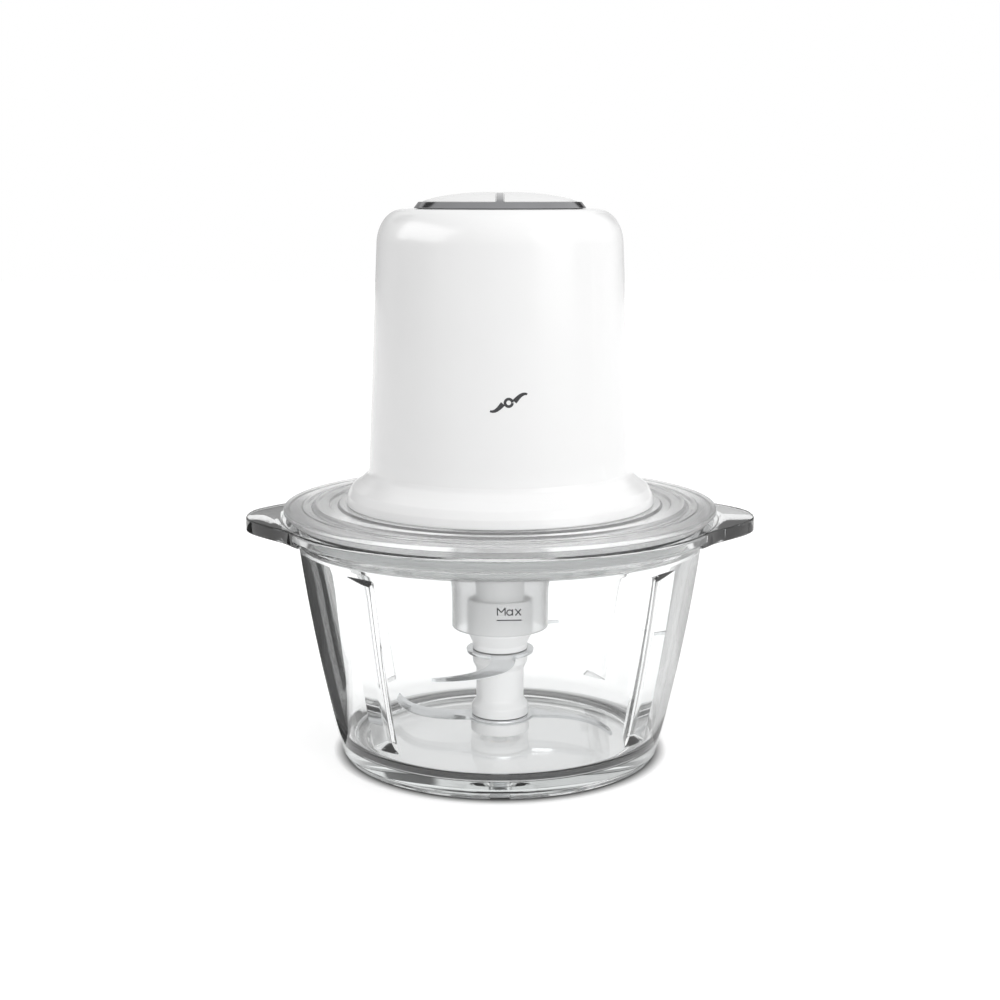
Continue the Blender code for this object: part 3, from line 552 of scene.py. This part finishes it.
def build_bowl():
    bowl = join(bowl_body(), bowl_ear(-1), bowl_ear(1), *[bowl_rib(a) for a in RIB_AZIMUTHS])
    cut(bowl, foot_drain(-1), foot_drain(1))
    smooth(bowl, 28)
    place(bowl, "bowl_body", "clear_glass", MATERIALS["clear_glass"], "bowl")
    profile = [(0.0, 47.5), (3.0, 47.5, 0.8), (3.0, 4.5, 0.4), (0.0, 4.5)]
    spindle = turned("steel_spindle", rounded(profile, 4, False), SMALL, False)
    place(smooth(spindle), "bowl_body", "blade_steel", MATERIALS["blade_steel"], "bowl_spindle")


# Lid


def build_lid():
    top = 112.0
    profile = [
        (19.4, top, 0.5),
        (70.2, top, 0.4),
        (71.0, top - 0.9, 0.5),
        (74.2, top - 0.9, 0.5),
        (75.0, top, 0.5),
        (78.6, top, 0.5),
        (79.6, top + 0.5, 0.5),
        (80.8, top + 0.5, 0.6),
        (82.2, 110.7, 0.6),
        (83.8, 110.7, 0.6),
        (84.8, 111.4, 0.4),
        (86.2, 111.4, 0.3),
        (86.7, 111.0, 0.3),
        (LID_R, 111.0, 0.9),
        (LID_R, 108.7, 0.7),
        (92.2, 108.5, 0.4),
        (91.6, RIM_TOP + 0.06, 0.3),
        (83.3, RIM_TOP + 0.06, 0.3),
        (83.3, 104.0, 0.2),
        (81.9, 104.0, 0.2),
        (81.9, 100.0, 0.2),
        (83.3, 100.0, 0.2),
        (83.3, 98.5, 0.5),
        (80.3, 98.5, 0.5),
        (80.3, 109.5, 1.5),
        (21.4, 109.5, 1.5),
        (21.4, 56.0, 0.8),
        (19.4, 56.0, 0.8),
    ]
    lid = turned("clear_lid", rounded(profile, 5), FINE)
    place(smooth(lid, 28), "lid_body", "clear_plastic", MATERIALS["clear_plastic"], "lid")


def build_gasket():
    """A silicone ring with two soft lips."""
    profile = [
        (82.2, 103.7, 0.3),
        (83.2, 103.7, 0.3),
        (83.6, 103.0, 0.3),
        (83.0, 102.2, 0.3),
        (83.0, 101.8, 0.3),
        (83.6, 101.0, 0.3),
        (83.2, 100.3, 0.3),
        (82.2, 100.3, 0.3),
    ]
    gasket = turned("silicone_gasket", rounded(profile, 4), FINE)
    place(smooth(gasket), "lid_body", "silicone", MATERIALS["silicone"], "lid_gasket")


# Motor unit shell


def ellipse_corner(centre_r, centre_z, reach_r, reach_z, steps=16):
    """A quarter ellipse from its top to its side."""
    angles = [math.pi / 2 * i / steps for i in range(steps + 1)]
    return [(centre_r + reach_r * math.sin(a), centre_z + reach_z * math.cos(a)) for a in angles]


def housing_radius(z):
    """The housing's outer radius on its straight, slightly tapering wall."""
    return HOUSING_FOOT_R - (z - SEAM_Z) * 4.5 / 96.0


def build_housing():
    corner_z = 223.0
    corner_r = housing_radius(corner_z)
    outer = ellipse_corner(41.5, corner_z, corner_r - 41.5, HOUSING_TOP - corner_z)
    wall = [(housing_radius(z), z) for z in (205.0, 180.0, 155.0, 135.0)]
    inner = [(54.4, SEAM_Z, 0.2), (50.0, 222.0, 6.0), (45.0, 233.4, 5.0), (38.0, 235.4, 1.0)]
    opening = [(35.5, 235.4, 0.3), (35.5, HOUSING_TOP, 0.35)]
    profile = outer + wall + [(HOUSING_FOOT_R, SEAM_Z)]
    housing = turned("housing_shell", rounded(profile + inner + opening, 5), FINE)
    hole = prism("cord_hole", circle(5.5, SMALL), 45.0, 65.0)
    hole.matrix_world = Matrix.Translation((0, 0, 0.138)) @ Matrix.Rotation(-math.pi / 2, 4, "X")
    cut(housing, hole)
    place(smooth(housing, 30), "motor_unit", "white_gloss", MATERIALS["white_gloss"], "motor_housing")


def build_collar():
    profile = [
        (57.05, SEAM_Z - 0.02),
        (57.6, 125.2, 3.0),
        (60.6, 122.4, 3.0),
        (64.6, 119.4, 3.0),
        (66.4, 115.9, 3.0),
        (COLLAR_R, COLLAR_BOTTOM - 0.2, 0.6),
        (64.8, COLLAR_BOTTOM - 0.2, 0.3),
        (64.4, 115.6, 1.0),
        (61.4, 119.2, 1.0),
        (55.0, 124.0, 1.0),
        (55.0, SEAM_Z - 0.3, 0.3),
    ]
    collar = turned("flared_collar", rounded(profile, 6), FINE)
    place(smooth(collar, 30), "motor_unit", "white_gloss", MATERIALS["white_gloss"], "base_collar")


def build_bezel():
    profile = [
        (33.4, 240.6, 0.2),
        (33.8, 241.0, 0.25),
        (34.7, 241.0, 0.35),
        (36.8, HOUSING_TOP + 0.3, 0.25),
        (35.1, HOUSING_TOP + 0.3, 0.2),
        (35.1, 233.0, 0.3),
        (33.4, 233.0, 0.3),
    ]
    bezel = turned("bezel_trim", rounded(profile, 5), FINE)
    place(smooth(bezel, 30), "motor_unit", "chrome", MATERIALS["chrome"], "bezel_ring")


VENTS = 8
VENT_HALF_LENGTH = 4.4
VENT_HALF_WIDTH = 1.6


def screw_places():
    return circle(34.0, 4, phase=math.pi / 4)


def vent(i):
    """One radial slot with round ends."""
    slot = []
    for end, start in ((-VENT_HALF_LENGTH, math.pi), (VENT_HALF_LENGTH, 0.0)):
        for step in range(7):
            a = start + math.pi * step / 6
            slot.append((end + VENT_HALF_WIDTH * math.sin(a), VENT_HALF_WIDTH * math.cos(a)))
    turn = Matrix.Rotation(TAU * (i + 0.5) / VENTS, 2)
    outline = [tuple(turn @ Vector((49.0 + x, y))) for x, y in slot]
    return prism(f"vent_{i}", outline, 110.0, 118.0)


def build_base_plate():
    profile = [
        (11.3, 115.5, 0.3),
        (63.7, 115.5, 0.4),
        (63.7, 112.5, 0.4),
        (18.6, 112.5, 0.6),
        (18.6, 104.0, 1.2),
        (6.5, 104.0, 0.4),
        (6.5, 105.4, 0.2),
        (11.3, 105.4, 0.3),
    ]
    plate = turned("base_cover", rounded(profile, 5), MEDIUM)
    cuts = [vent(i) for i in range(VENTS)]
    for x, y in screw_places():
        cuts.append(prism("bore", circle(3.1, 32, (x, y)), 110.0, 114.2))
        cuts.append(prism("hole", circle(1.6, 24, (x, y)), 113.0, 120.0))
    cut(plate, *cuts)
    place(smooth(plate, 30), "motor_unit", "white_satin", MATERIALS["white_satin"], "base_plate")


def build_screws():
    """Cross-head screws in the base plate's counterbores."""
    shank = [(0.0, 118.6), (1.2, 118.6, 0.3), (1.2, 113.9)]
    head = [(2.7, 113.9, 0.2), (2.7, 112.7, 0.8), (0.0, 112.6)]
    bar = [(-1.5, -0.3), (1.5, -0.3), (1.5, 0.3), (-1.5, 0.3)]
    for i, (x, y) in enumerate(screw_places()):
        screw = turned(f"base_screw_fine_{i + 1}", rounded(shank + head, 5, False), 32, False)
        slots = []
        for angle in (0.4, 0.4 + math.pi / 2):
            turn = Matrix.Rotation(angle, 2)
            slots.append(prism("slot", [tuple(turn @ Vector(p)) for p in bar], 112.0, 113.2))
        cut(screw, *slots)
        screw.location = (x * MM, y * MM, 0.0)
        place(smooth(screw), "motor_unit", "blade_steel", MATERIALS["blade_steel"], f"base_screw_{i + 1}")


def build_gland():
    """A rubber grommet with stepped rings round the cable hole."""
    profile = [
        (3.2, 62.0, 0.6),
        (5.2, 62.0, 0.6),
        (5.6, 61.0, 0.3),
        (6.4, 60.6, 0.3),
        (6.8, 59.8, 0.3),
        (8.0, 59.2, 0.7),
        (8.0, 57.5, 0.4),
        (5.0, 57.1, 0.2),
        (5.0, 52.9, 0.2),
        (7.5, 52.5, 0.4),
        (7.5, 50.5, 0.4),
        (3.2, 50.5, 0.4),
    ]
    gland = turned("rubber_gland", rounded(profile, 4), SMALL)
    gland.data.transform(Matrix.Rotation(-math.pi / 2, 4, "X"))
    gland.location.z = 0.138
    place(smooth(gland), "motor_unit", "black_rubber", MATERIALS["black_rubber"], "cord_gland")


# Buttons


def dome_profile(drop=0.0):
    """The crown shared by both buttons: a shallow curve with a softer shoulder at its edge."""
    crown = []
    for i in range(17):
        t = i / 16
        radius = BUTTON_R * t
        height = BUTTON_TOP - 3.6 * t ** 2.6
        crown.append((radius, height - drop))
    crown[-1] = (BUTTON_R, crown[-1][1] - 0.3)
    return crown


def build_button(side, label):
    profile = dome_profile() + [(BUTTON_R, 237.5), (0.0, 237.5)]
    button = turned(f"button_cap_{label}", profile, FINE, closed=False)
    gap = 1.8
    far = [(-side * 50.0, -50.0), (side * gap, -50.0), (side * gap, 50.0), (-side * 50.0, 50.0)]
    cut(button, prism("half", far, 225.0, 255.0))
    round_edges(button, 0.45, 3, 40)
    stem = prism("stem", circle(2.2, 24, (side * 15.0, -8.0)), 232.2, 238.5)
    pin = prism("pin", circle(2.0, 24, (side * 15.0, 11.0)), 218.0, 238.5)
    join(button, stem, pin)
    place(smooth(button, 30), f"{label}_button", "white_gloss", MATERIALS["white_gloss"], f"button_{label}")


def build_divider():
    profile = dome_profile(0.25) + [(BUTTON_R, 237.5), (0.0, 237.5)]
    strip = turned("button_strip", profile, FINE, closed=False)
    for side in (-1, 1):
        outline = [(side * 1.5, -50.0), (side * 50.0, -50.0), (side * 50.0, 50.0), (side * 1.5, 50.0)]
        cut(strip, prism("side", outline, 225.0, 255.0))
    round_edges(strip, 0.25, 2, 40)
    place(smooth(strip, 30), "motor_unit", "chrome", MATERIALS["chrome"], "button_divider")


def build_spring(side, label):
    """A fine compression spring round the button's guide pin, with its ends wound flat."""
    node = f"button_spring_{label}"
    low, high = node_box(node)
    wire = 0.5
    mean = (high.x - low.x) / 2 - wire
    centre = (low + high) / 2
    turns, steps, ring = 5.0, 200, 10
    climb = high.z - low.z - 2 * wire
    up = Vector((0.0, 0.0, 1.0))
    shape = bmesh.new()
    rows = []
    for i in range(steps + 1):
        t = i / steps
        angle = TAU * turns * t
        rise = min(1.0, max(0.0, (t - 0.1) / 0.8))
        height = low.z + wire + climb * rise
        middle = Vector((mean * math.cos(angle), mean * math.sin(angle), height))
        outward = Vector((math.cos(angle), math.sin(angle), 0.0))
        row = []
        for j in range(ring):
            a = TAU * j / ring
            point = middle + (outward * math.cos(a) + up * math.sin(a)) * wire
            place_xy = ((point.x + centre.x) * MM, (point.y + centre.y) * MM)
            row.append(shape.verts.new((*place_xy, point.z * MM)))
        rows.append(row)
    shape.faces.new(rows[0])
    shape.faces.new(rows[-1][::-1])
    for first, second in zip(rows, rows[1:]):
        for j in range(ring):
            k = (j + 1) % ring
            shape.faces.new((first[j], second[j], second[k], first[k]))
    spring = from_bmesh(f"spring_{label}", shape)
    place(smooth(spring, 60), "motor_unit", "blade_steel", MATERIALS["blade_steel"], node)
    height = high.z - low.z
    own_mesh(spring)


# Coupler, hub and blades


def build_coupler():
    profile = [(0.0, 103.5), (10.6, 103.5, 0.6), (10.6, 63.0, 0.8), (0.0, 63.0)]
    coupler = turned("coupler_tube", rounded(profile, 4, False), MEDIUM, False)
    key = round_edges(prism("key", circle(8.5, 6), 52.0, 64.0), 0.5, 2, 40)
    join(coupler, key)
    cut(coupler, prism("bore", circle(4.3, 32), 84.0, 110.0))
    place(smooth(coupler, 30), "drive", "white_satin", MATERIALS["white_satin"], "drive_coupler")


def build_hub():
    profile = [
        (0.0, 62.4),
        (12.7, 62.4, 0.8),
        (12.7, 69.0, 0.4),
        (13.1, 70.0, 0.3),
        (14.5, 70.0, 0.9),
        (14.5, 53.5, 2.5),
        (12.2, 48.5, 1.5),
        (12.2, 46.0, 0.3),
        (9.5, 46.0, 0.2),
        (9.5, 44.0, 0.2),
        (12.2, 44.0, 0.3),
        (12.2, 40.0, 1.5),
        (10.6, 37.0, 2.0),
        (10.6, 23.0, 2.0),
        (12.6, 20.0, 1.5),
        (12.6, 16.0, 0.3),
        (9.5, 16.0, 0.2),
        (9.5, 14.0, 0.2),
        (13.0, 14.0, 0.3),
        (13.0, 8.2, 0.8),
        (9.4, 8.2, 0.6),
        (7.4, 11.6, 0.4),
        (4.9, 11.6, 0.2),
        (4.9, 49.0, 0.4),
        (0.0, 49.0),
    ]
    hub = turned("blade_hub_body", rounded(profile, 5, False), MEDIUM, False)
    cut(hub, prism("socket", circle(9.0, 6), 51.4, 66.0))
    place(smooth(hub, 30), "blade", "white_satin", MATERIALS["white_satin"], "blade_hub")


def blade_stations(thickness):
    """Cross-sections of one swept arm, from its root to its tip, with the leading edge ground thin."""
    sections = []
    steps = 26
    for i in range(steps + 1):
        t = i / steps
        radius = 11.5 + (55.0 - 11.5) * t
        reach = max(0.0, (radius - 15.0) / 40.0)
        lead = math.asin(min(0.7, 6.8 / radius)) - 0.62 * reach * reach
        width = 11.0 - 3.4 * reach - 5.2 * reach ** 6
        grind = min(4.2, width * 0.5) * min(1.0, max(0.05, reach * 5.0))
        section = []
        for back, height in ((width, 0.0), (width, thickness), (grind, thickness), (0.0, 0.25), (0.0, 0.0)):
            angle = lead - back / radius
            section.append((radius * math.cos(angle), radius * math.sin(angle), height))
        sections.append(section)
    return sections


def blade_arm(name, bottom, turn, thickness):
    shape = bmesh.new()
    rows = []
    c, s = math.cos(turn), math.sin(turn)
    for section in blade_stations(thickness):
        row = []
        for x, y, z in section:
            row.append(shape.verts.new(((x * c - y * s) * MM, (x * s + y * c) * MM, (bottom + z) * MM)))
        rows.append(row)
    shape.faces.new(rows[0])
    shape.faces.new(rows[-1][::-1])
    for first, second in zip(rows, rows[1:]):
        for i in range(len(first)):
            j = (i + 1) % len(first)
            shape.faces.new((first[i], second[i], second[j], first[j]))
    return from_bmesh(name, shape)


def build_blades():
    for label, turn in (("lower", 0.0), ("upper", math.pi / 2)):
        node = f"{label}_blade"
        low, high = bottom_of(node), top_of(node)
        profile = [(9.8, high, 0.15), (15.0, high, 0.15), (15.0, low, 0.15), (9.8, low, 0.15)]
        ring = turned(f"{label}_blade_steel", rounded(profile, 2), MEDIUM)
        arms = [blade_arm(f"arm_{i}", low, turn + math.pi * i, high - low) for i in range(2)]
        join(ring, *arms)
        place(smooth(ring, 20), "blade", "blade_steel", MATERIALS["blade_steel"], node)


# Printed marks


def wrap(obj, radius_at, centre_x, proud):
    """Bends a flat print, drawn in X and Z, round the front of a turned surface."""
    for vertex in obj.data.vertices:
        x = vertex.co.x + centre_x * MM
        z = vertex.co.z
        depth = vertex.co.y
        radius = radius_at(z / MM) * MM + proud * MM - depth
        angle = x / radius
        vertex.co = (radius * math.sin(angle), -radius * math.cos(angle), z)
    return obj


def print_from(name, outlines, centre_z, thickness=0.06):
    """Flat closed shapes, drawn in X and Z about a centre height, as thin solids."""
    shape = bmesh.new()
    for outline in outlines:
        front = [shape.verts.new((x * MM, 0.0, (centre_z + z) * MM)) for x, z in outline]
        back = [shape.verts.new((x * MM, thickness * MM, (centre_z + z) * MM)) for x, z in outline]
        shape.faces.new(front)
        shape.faces.new(back[::-1])
        for i in range(len(outline)):
            j = (i + 1) % len(outline)
            shape.faces.new((front[j], front[i], back[i], back[j]))
    shape.normal_update()
    bmesh.ops.triangulate(shape, faces=shape.faces)
    return from_bmesh(name, shape)


def ribbon(points, width, taper=0.0):
    """The outline of a stroke along the points, narrowing towards its end by the taper."""
    left, right = [], []
    last = len(points) - 1
    for i, point in enumerate(points):
        before = Vector(points[max(i - 1, 0)])
        after = Vector(points[min(i + 1, last)])
        here = Vector(point)
        inward = (here - before).normalized() if i else (after - here).normalized()
        outward = (after - here).normalized() if i < last else inward
        normal = (inward + outward).normalized().orthogonal()
        mitre = max(0.5, normal.dot(outward.orthogonal()))
        reach = width / 2 * (1.0 - taper * i / last) / mitre
        left.append(tuple(here + normal * reach))
        right.append(tuple(here - normal * reach))
    return left + right[::-1]


def arc(radius, start, end, centre=(0.0, 0.0), steps=24):
    """Points along a circular arc, with its angles in degrees."""
    angles = [math.radians(start + (end - start) * i / steps) for i in range(steps + 1)]
    return [(centre[0] + radius * math.cos(a), centre[1] + radius * math.sin(a)) for a in angles]


def rotor_symbol():
    """A plain two-blade rotor pictogram: a small ring between two curved blades."""
    outlines = [ribbon(arc(1.5, 3.0, 357.0), 1.1)]
    for side in (-1, 1):
        blade = []
        for i in range(17):
            t = i / 16
            blade.append((side * (2.3 + 5.2 * t), side * (0.4 + 3.1 * math.sin(1.9 * t))))
        outlines.append(ribbon(blade, 2.1, 0.62))
    return outlines


def build_symbol():
    symbol = print_from("rotor_symbol", rotor_symbol(), 162.0)
    wrap(symbol, housing_radius, 3.5, 0.05)
    place(symbol, "motor_unit", "black_plastic", PRINT_GREY)


def fill_strokes(stroke):
    """The word Max and a line under it, as plain strokes."""
    top, base, low = 1.6, -1.6, 1.1
    letter_m = [[(-4.6, base), (-4.6, top)], [(-1.6, base), (-1.6, top)]]
    letter_m += [[(-4.7, top), (-3.1, -0.3)], [(-1.5, top), (-3.1, -0.3)]]
    letter_a = [(1.3, base), (1.3, 1.0)]
    bowl_a = arc(1.1, 4.0, 356.0, (0.15, -0.35), 24)
    letter_x = [[(2.4, base), (4.6, low)], [(2.4, low), (4.6, base)]]
    line = [(-4.85, base - 2.0), (4.85, base - 2.0)]
    return [ribbon(points, stroke) for points in (*letter_m, letter_a, bowl_a, *letter_x, line)]


def build_fill_mark():
    mark = print_from("fill_mark", fill_strokes(0.46), 83.9)
    wrap(mark, wall_radius, 3.6, 0.05)
    place(mark, "bowl_body", "black_plastic", PRINT_GREY)


# Studio


FLOOR_GREY = (0.66, 0.66, 0.66)
# Colour of the painted shadow ring under the bowl's foot.
PAINTED_SHADOW_GREY = (0.08, 0.08, 0.08)
FLOOR_GLOW = 0.58


def build_camera():
    """The view fitted to the object's ellipses: 10.6 degrees down from the front."""
    data = bpy.data.cameras.new("camera")
    data.lens = 58.58
    data.sensor_width = 36.0
    camera = bpy.data.objects.new("camera", data)
    camera.location = (0.0, -0.7028, 0.2435)
    camera.rotation_euler = (math.pi / 2 - 0.18486, 0.0, 0.0)
    bpy.context.scene.collection.objects.link(camera)
    bpy.context.scene.camera = camera


def build_floor():
    """A plain pale floor that glows a little, with a painted shadow round the bowl's foot: a dark ring in
    the floor's colour, where its glow is dimmed too.
    """
    mesh = bpy.data.meshes.new("floor")
    size = 4.0
    corners = [(-size, -size, 0), (size, -size, 0), (size, size, 0), (-size, size, 0)]
    mesh.from_pydata(corners, [], [(0, 1, 2, 3)])
    floor = linked("floor", mesh)
    floor.location.z = -0.0002
    nodes = Nodes("studio_floor", FLOOR_GREY, 0.8)
    nodes.vary_roughness(nodes.noise(3.0), 0.75, 0.85)
    reach = nodes.add("ShaderNodeVectorMath", operation="LENGTH")
    nodes.link(nodes.coordinates, reach.inputs[0])
    # Painted shadow: a dark ring on the floor, 57 to 75 mm out under the edge of the bowl's foot, darkens
    # the floor's colour.
    painted_shadow_ring = nodes.add("ShaderNodeMath", operation="MULTIPLY")
    nodes.link(nodes.remap(reach.outputs["Value"], 0.0, 1.0, 0.057, 0.063), painted_shadow_ring.inputs[0])
    nodes.link(nodes.remap(reach.outputs["Value"], 1.0, 0.0, 0.069, 0.075), painted_shadow_ring.inputs[1])
    nodes.vary_color(painted_shadow_ring.outputs["Value"], FLOOR_GREY, PAINTED_SHADOW_GREY, 0.0, 1.0)
    glow = nodes.add("ShaderNodeMath", operation="MULTIPLY")
    path = nodes.add("ShaderNodeLightPath").outputs["Is Diffuse Ray"]
    nodes.link(nodes.remap(path, FLOOR_GLOW, 0.0, 0.0, 1.0), glow.inputs[0])
    # The floor's glow is dimmed in the same painted shadow ring.
    nodes.link(nodes.remap(painted_shadow_ring.outputs["Value"], 1.0, 0.05, 0.0, 1.0), glow.inputs[1])
    nodes.set("Emission Color", (1.0, 1.0, 1.0, 1.0))
    nodes.link(glow.outputs["Value"], nodes.shader.inputs["Emission Strength"])
    floor.data.materials.append(nodes.material)


def build_flag(name, side, grey):
    """A low bent card beside the bowl, fixed to the camera, that only glass and gloss can see."""
    near, far, height = -0.01, 0.1, 0.075
    low = 0.0005
    lying = [(0.076, near, low), (0.16, near, low), (0.3, far, low), (0.096, far, low)]
    raised = [(0.3, far, height), (0.096, far, height)]
    corners = [(side * x, y, z) for x, y, z in lying + raised]
    mesh = bpy.data.meshes.new(name)
    mesh.from_pydata(corners, [], [(0, 1, 2, 3), (3, 2, 4, 5)])
    flag = linked(name, mesh)
    nodes = Nodes(f"{name}_card", (grey, grey, grey), 0.9)
    flag.data.materials.append(nodes.material)
    flag.visible_camera = False
    flag.visible_diffuse = False
    flag.visible_shadow = False
    camera = bpy.context.scene.camera
    bpy.context.view_layer.update()
    flag.parent = camera
    flag.matrix_parent_inverse = camera.matrix_world.inverted()


def pieces_named(name, pieces):
    """A collection outside the scene that only lists the pieces one light works on."""
    group = bpy.data.collections.new(name)
    for piece in pieces:
        group.objects.link(bpy.data.objects[piece])
    return group


def area_light(name, location, target, size, power, lit, blocked_by=()):
    """A soft light that works on the listed pieces only and is not seen itself."""
    data = bpy.data.lights.new(name, "AREA")
    data.shape = "RECTANGLE"
    data.size, data.size_y = size
    data.energy = power
    light = bpy.data.objects.new(name, data)
    light.location = location
    direction = Vector(target) - Vector(location)
    light.rotation_euler = direction.to_track_quat("-Z", "Y").to_euler()
    light.visible_camera = False
    light.light_linking.receiver_collection = pieces_named(f"{name}_lit", lit)
    if blocked_by:
        light.light_linking.blocker_collection = pieces_named(f"{name}_blocked", blocked_by)
    bpy.context.scene.collection.objects.link(light)
    return light


def build_world():
    """Soft light, a little brighter from the right, with darker wings low behind and at the sides."""
    world = bpy.data.worlds.new("studio")
    bpy.context.scene.world = world
    world.use_nodes = True
    tree = world.node_tree
    background = tree.nodes["Background"]

    def math_node(operation, *values):
        node = tree.nodes.new("ShaderNodeMath")
        node.operation = operation
        for socket, value in zip(node.inputs, values):
            if isinstance(value, bpy.types.NodeSocket):
                tree.links.new(value, socket)
            else:
                socket.default_value = value
        return node.outputs["Value"]

    def ramp(source, start, end, low, high):
        node = tree.nodes.new("ShaderNodeMapRange")
        node.interpolation_type = "SMOOTHSTEP"
        tree.links.new(source, node.inputs["Value"])
        for name, value in (("From Min", start), ("From Max", end), ("To Min", low), ("To Max", high)):
            node.inputs[name].default_value = value
        return node.outputs["Result"]

    def dark_patch(centre):
        """A small soft dark area of the studio round one direction."""
        node = tree.nodes.new("ShaderNodeVectorMath")
        node.operation = "DOT_PRODUCT"
        tree.links.new(towards, node.inputs[0])
        node.inputs[1].default_value = Vector(centre).normalized()
        return ramp(node.outputs["Value"], 0.984, 0.992, 1.0, 0.1)

    towards = tree.nodes.new("ShaderNodeTexCoord").outputs["Generated"]
    direction = tree.nodes.new("ShaderNodeSeparateXYZ")
    tree.links.new(towards, direction.inputs["Vector"])
    x, y, z = direction.outputs
    across = math_node("MULTIPLY_ADD", x, 0.2, 1.0)
    gradient = math_node("MULTIPLY_ADD", y, -0.1, across)
    behind = math_node("MULTIPLY", ramp(y, 0.55, 0.8, 0.0, 1.0), ramp(z, 0.5, 0.7, 1.0, 0.0))
    wings = ramp(math_node("ABSOLUTE", x), 0.126, 0.14, 0.05, 0.5)
    low_wings = math_node("MULTIPLY", wings, ramp(z, 0.26, 0.34, 1.0, 0.1))
    backdrop = math_node("SUBTRACT", 1.0, math_node("MULTIPLY", behind, low_wings))
    far_side = ramp(math_node("ABSOLUTE", x), 0.93, 0.97, 0.0, 1.0)
    beside = math_node("MULTIPLY", far_side, ramp(z, 0.3, 0.45, 1.0, 0.0))
    flags = math_node("MULTIPLY_ADD", beside, -0.3, 1.0)
    lit = math_node("MULTIPLY", math_node("MULTIPLY", gradient, backdrop), flags)
    for centre in ((-0.56, 0.65, 0.51), (0.4, 0.854, 0.33)):
        lit = math_node("MULTIPLY", lit, dark_patch(centre))
    seen = tree.nodes.new("ShaderNodeLightPath").outputs["Is Camera Ray"]
    tree.links.new(math_node("MAXIMUM", lit, seen), background.inputs["Strength"])
    background.inputs["Color"].default_value = (1.0, 1.0, 1.0, 1.0)


def build_lights():
    """A key from the right, a broad gloss at the upper left, a fill inside the glass, and the cards."""
    shell = ("housing_shell", "flared_collar")
    inside = ("blade_hub_body", "coupler_tube", "lower_blade_steel", "upper_blade_steel")
    area_light("key", (0.92, -0.77, 0.6), (0.0, 0.0, 0.17), (0.8, 0.8), 3.3, shell, shell)
    crown = (-0.03, -0.04, 0.23)
    gloss = area_light("gloss", (-1.05, -0.18, 0.76), crown, (1.3, 0.7), 9.0, shell[:1])
    gloss.visible_diffuse = False
    hub = (0.0, 0.0, 0.06)
    area_light("bowl_fill", (0.15, -0.6, 0.2), hub, (0.5, 0.3), 1.6, inside, inside + shell)
    build_flag("left_flag", -1, 0.1)
    build_flag("right_flag", 1, 0.85)


def build_studio():
    build_camera()
    build_floor()
    build_world()
    bpy.context.scene.view_settings.view_transform = "Standard"


build_studio()
finish_frame_nodes()
build_bowl()
build_lid()
build_gasket()
build_housing()
build_collar()
build_bezel()
build_base_plate()
build_screws()
build_gland()
build_button(-1, "left")
build_button(1, "right")
build_divider()
build_spring(-1, "left")
build_spring(1, "right")
build_coupler()
build_hub()
build_blades()
build_symbol()
build_fill_mark()
build_lights()
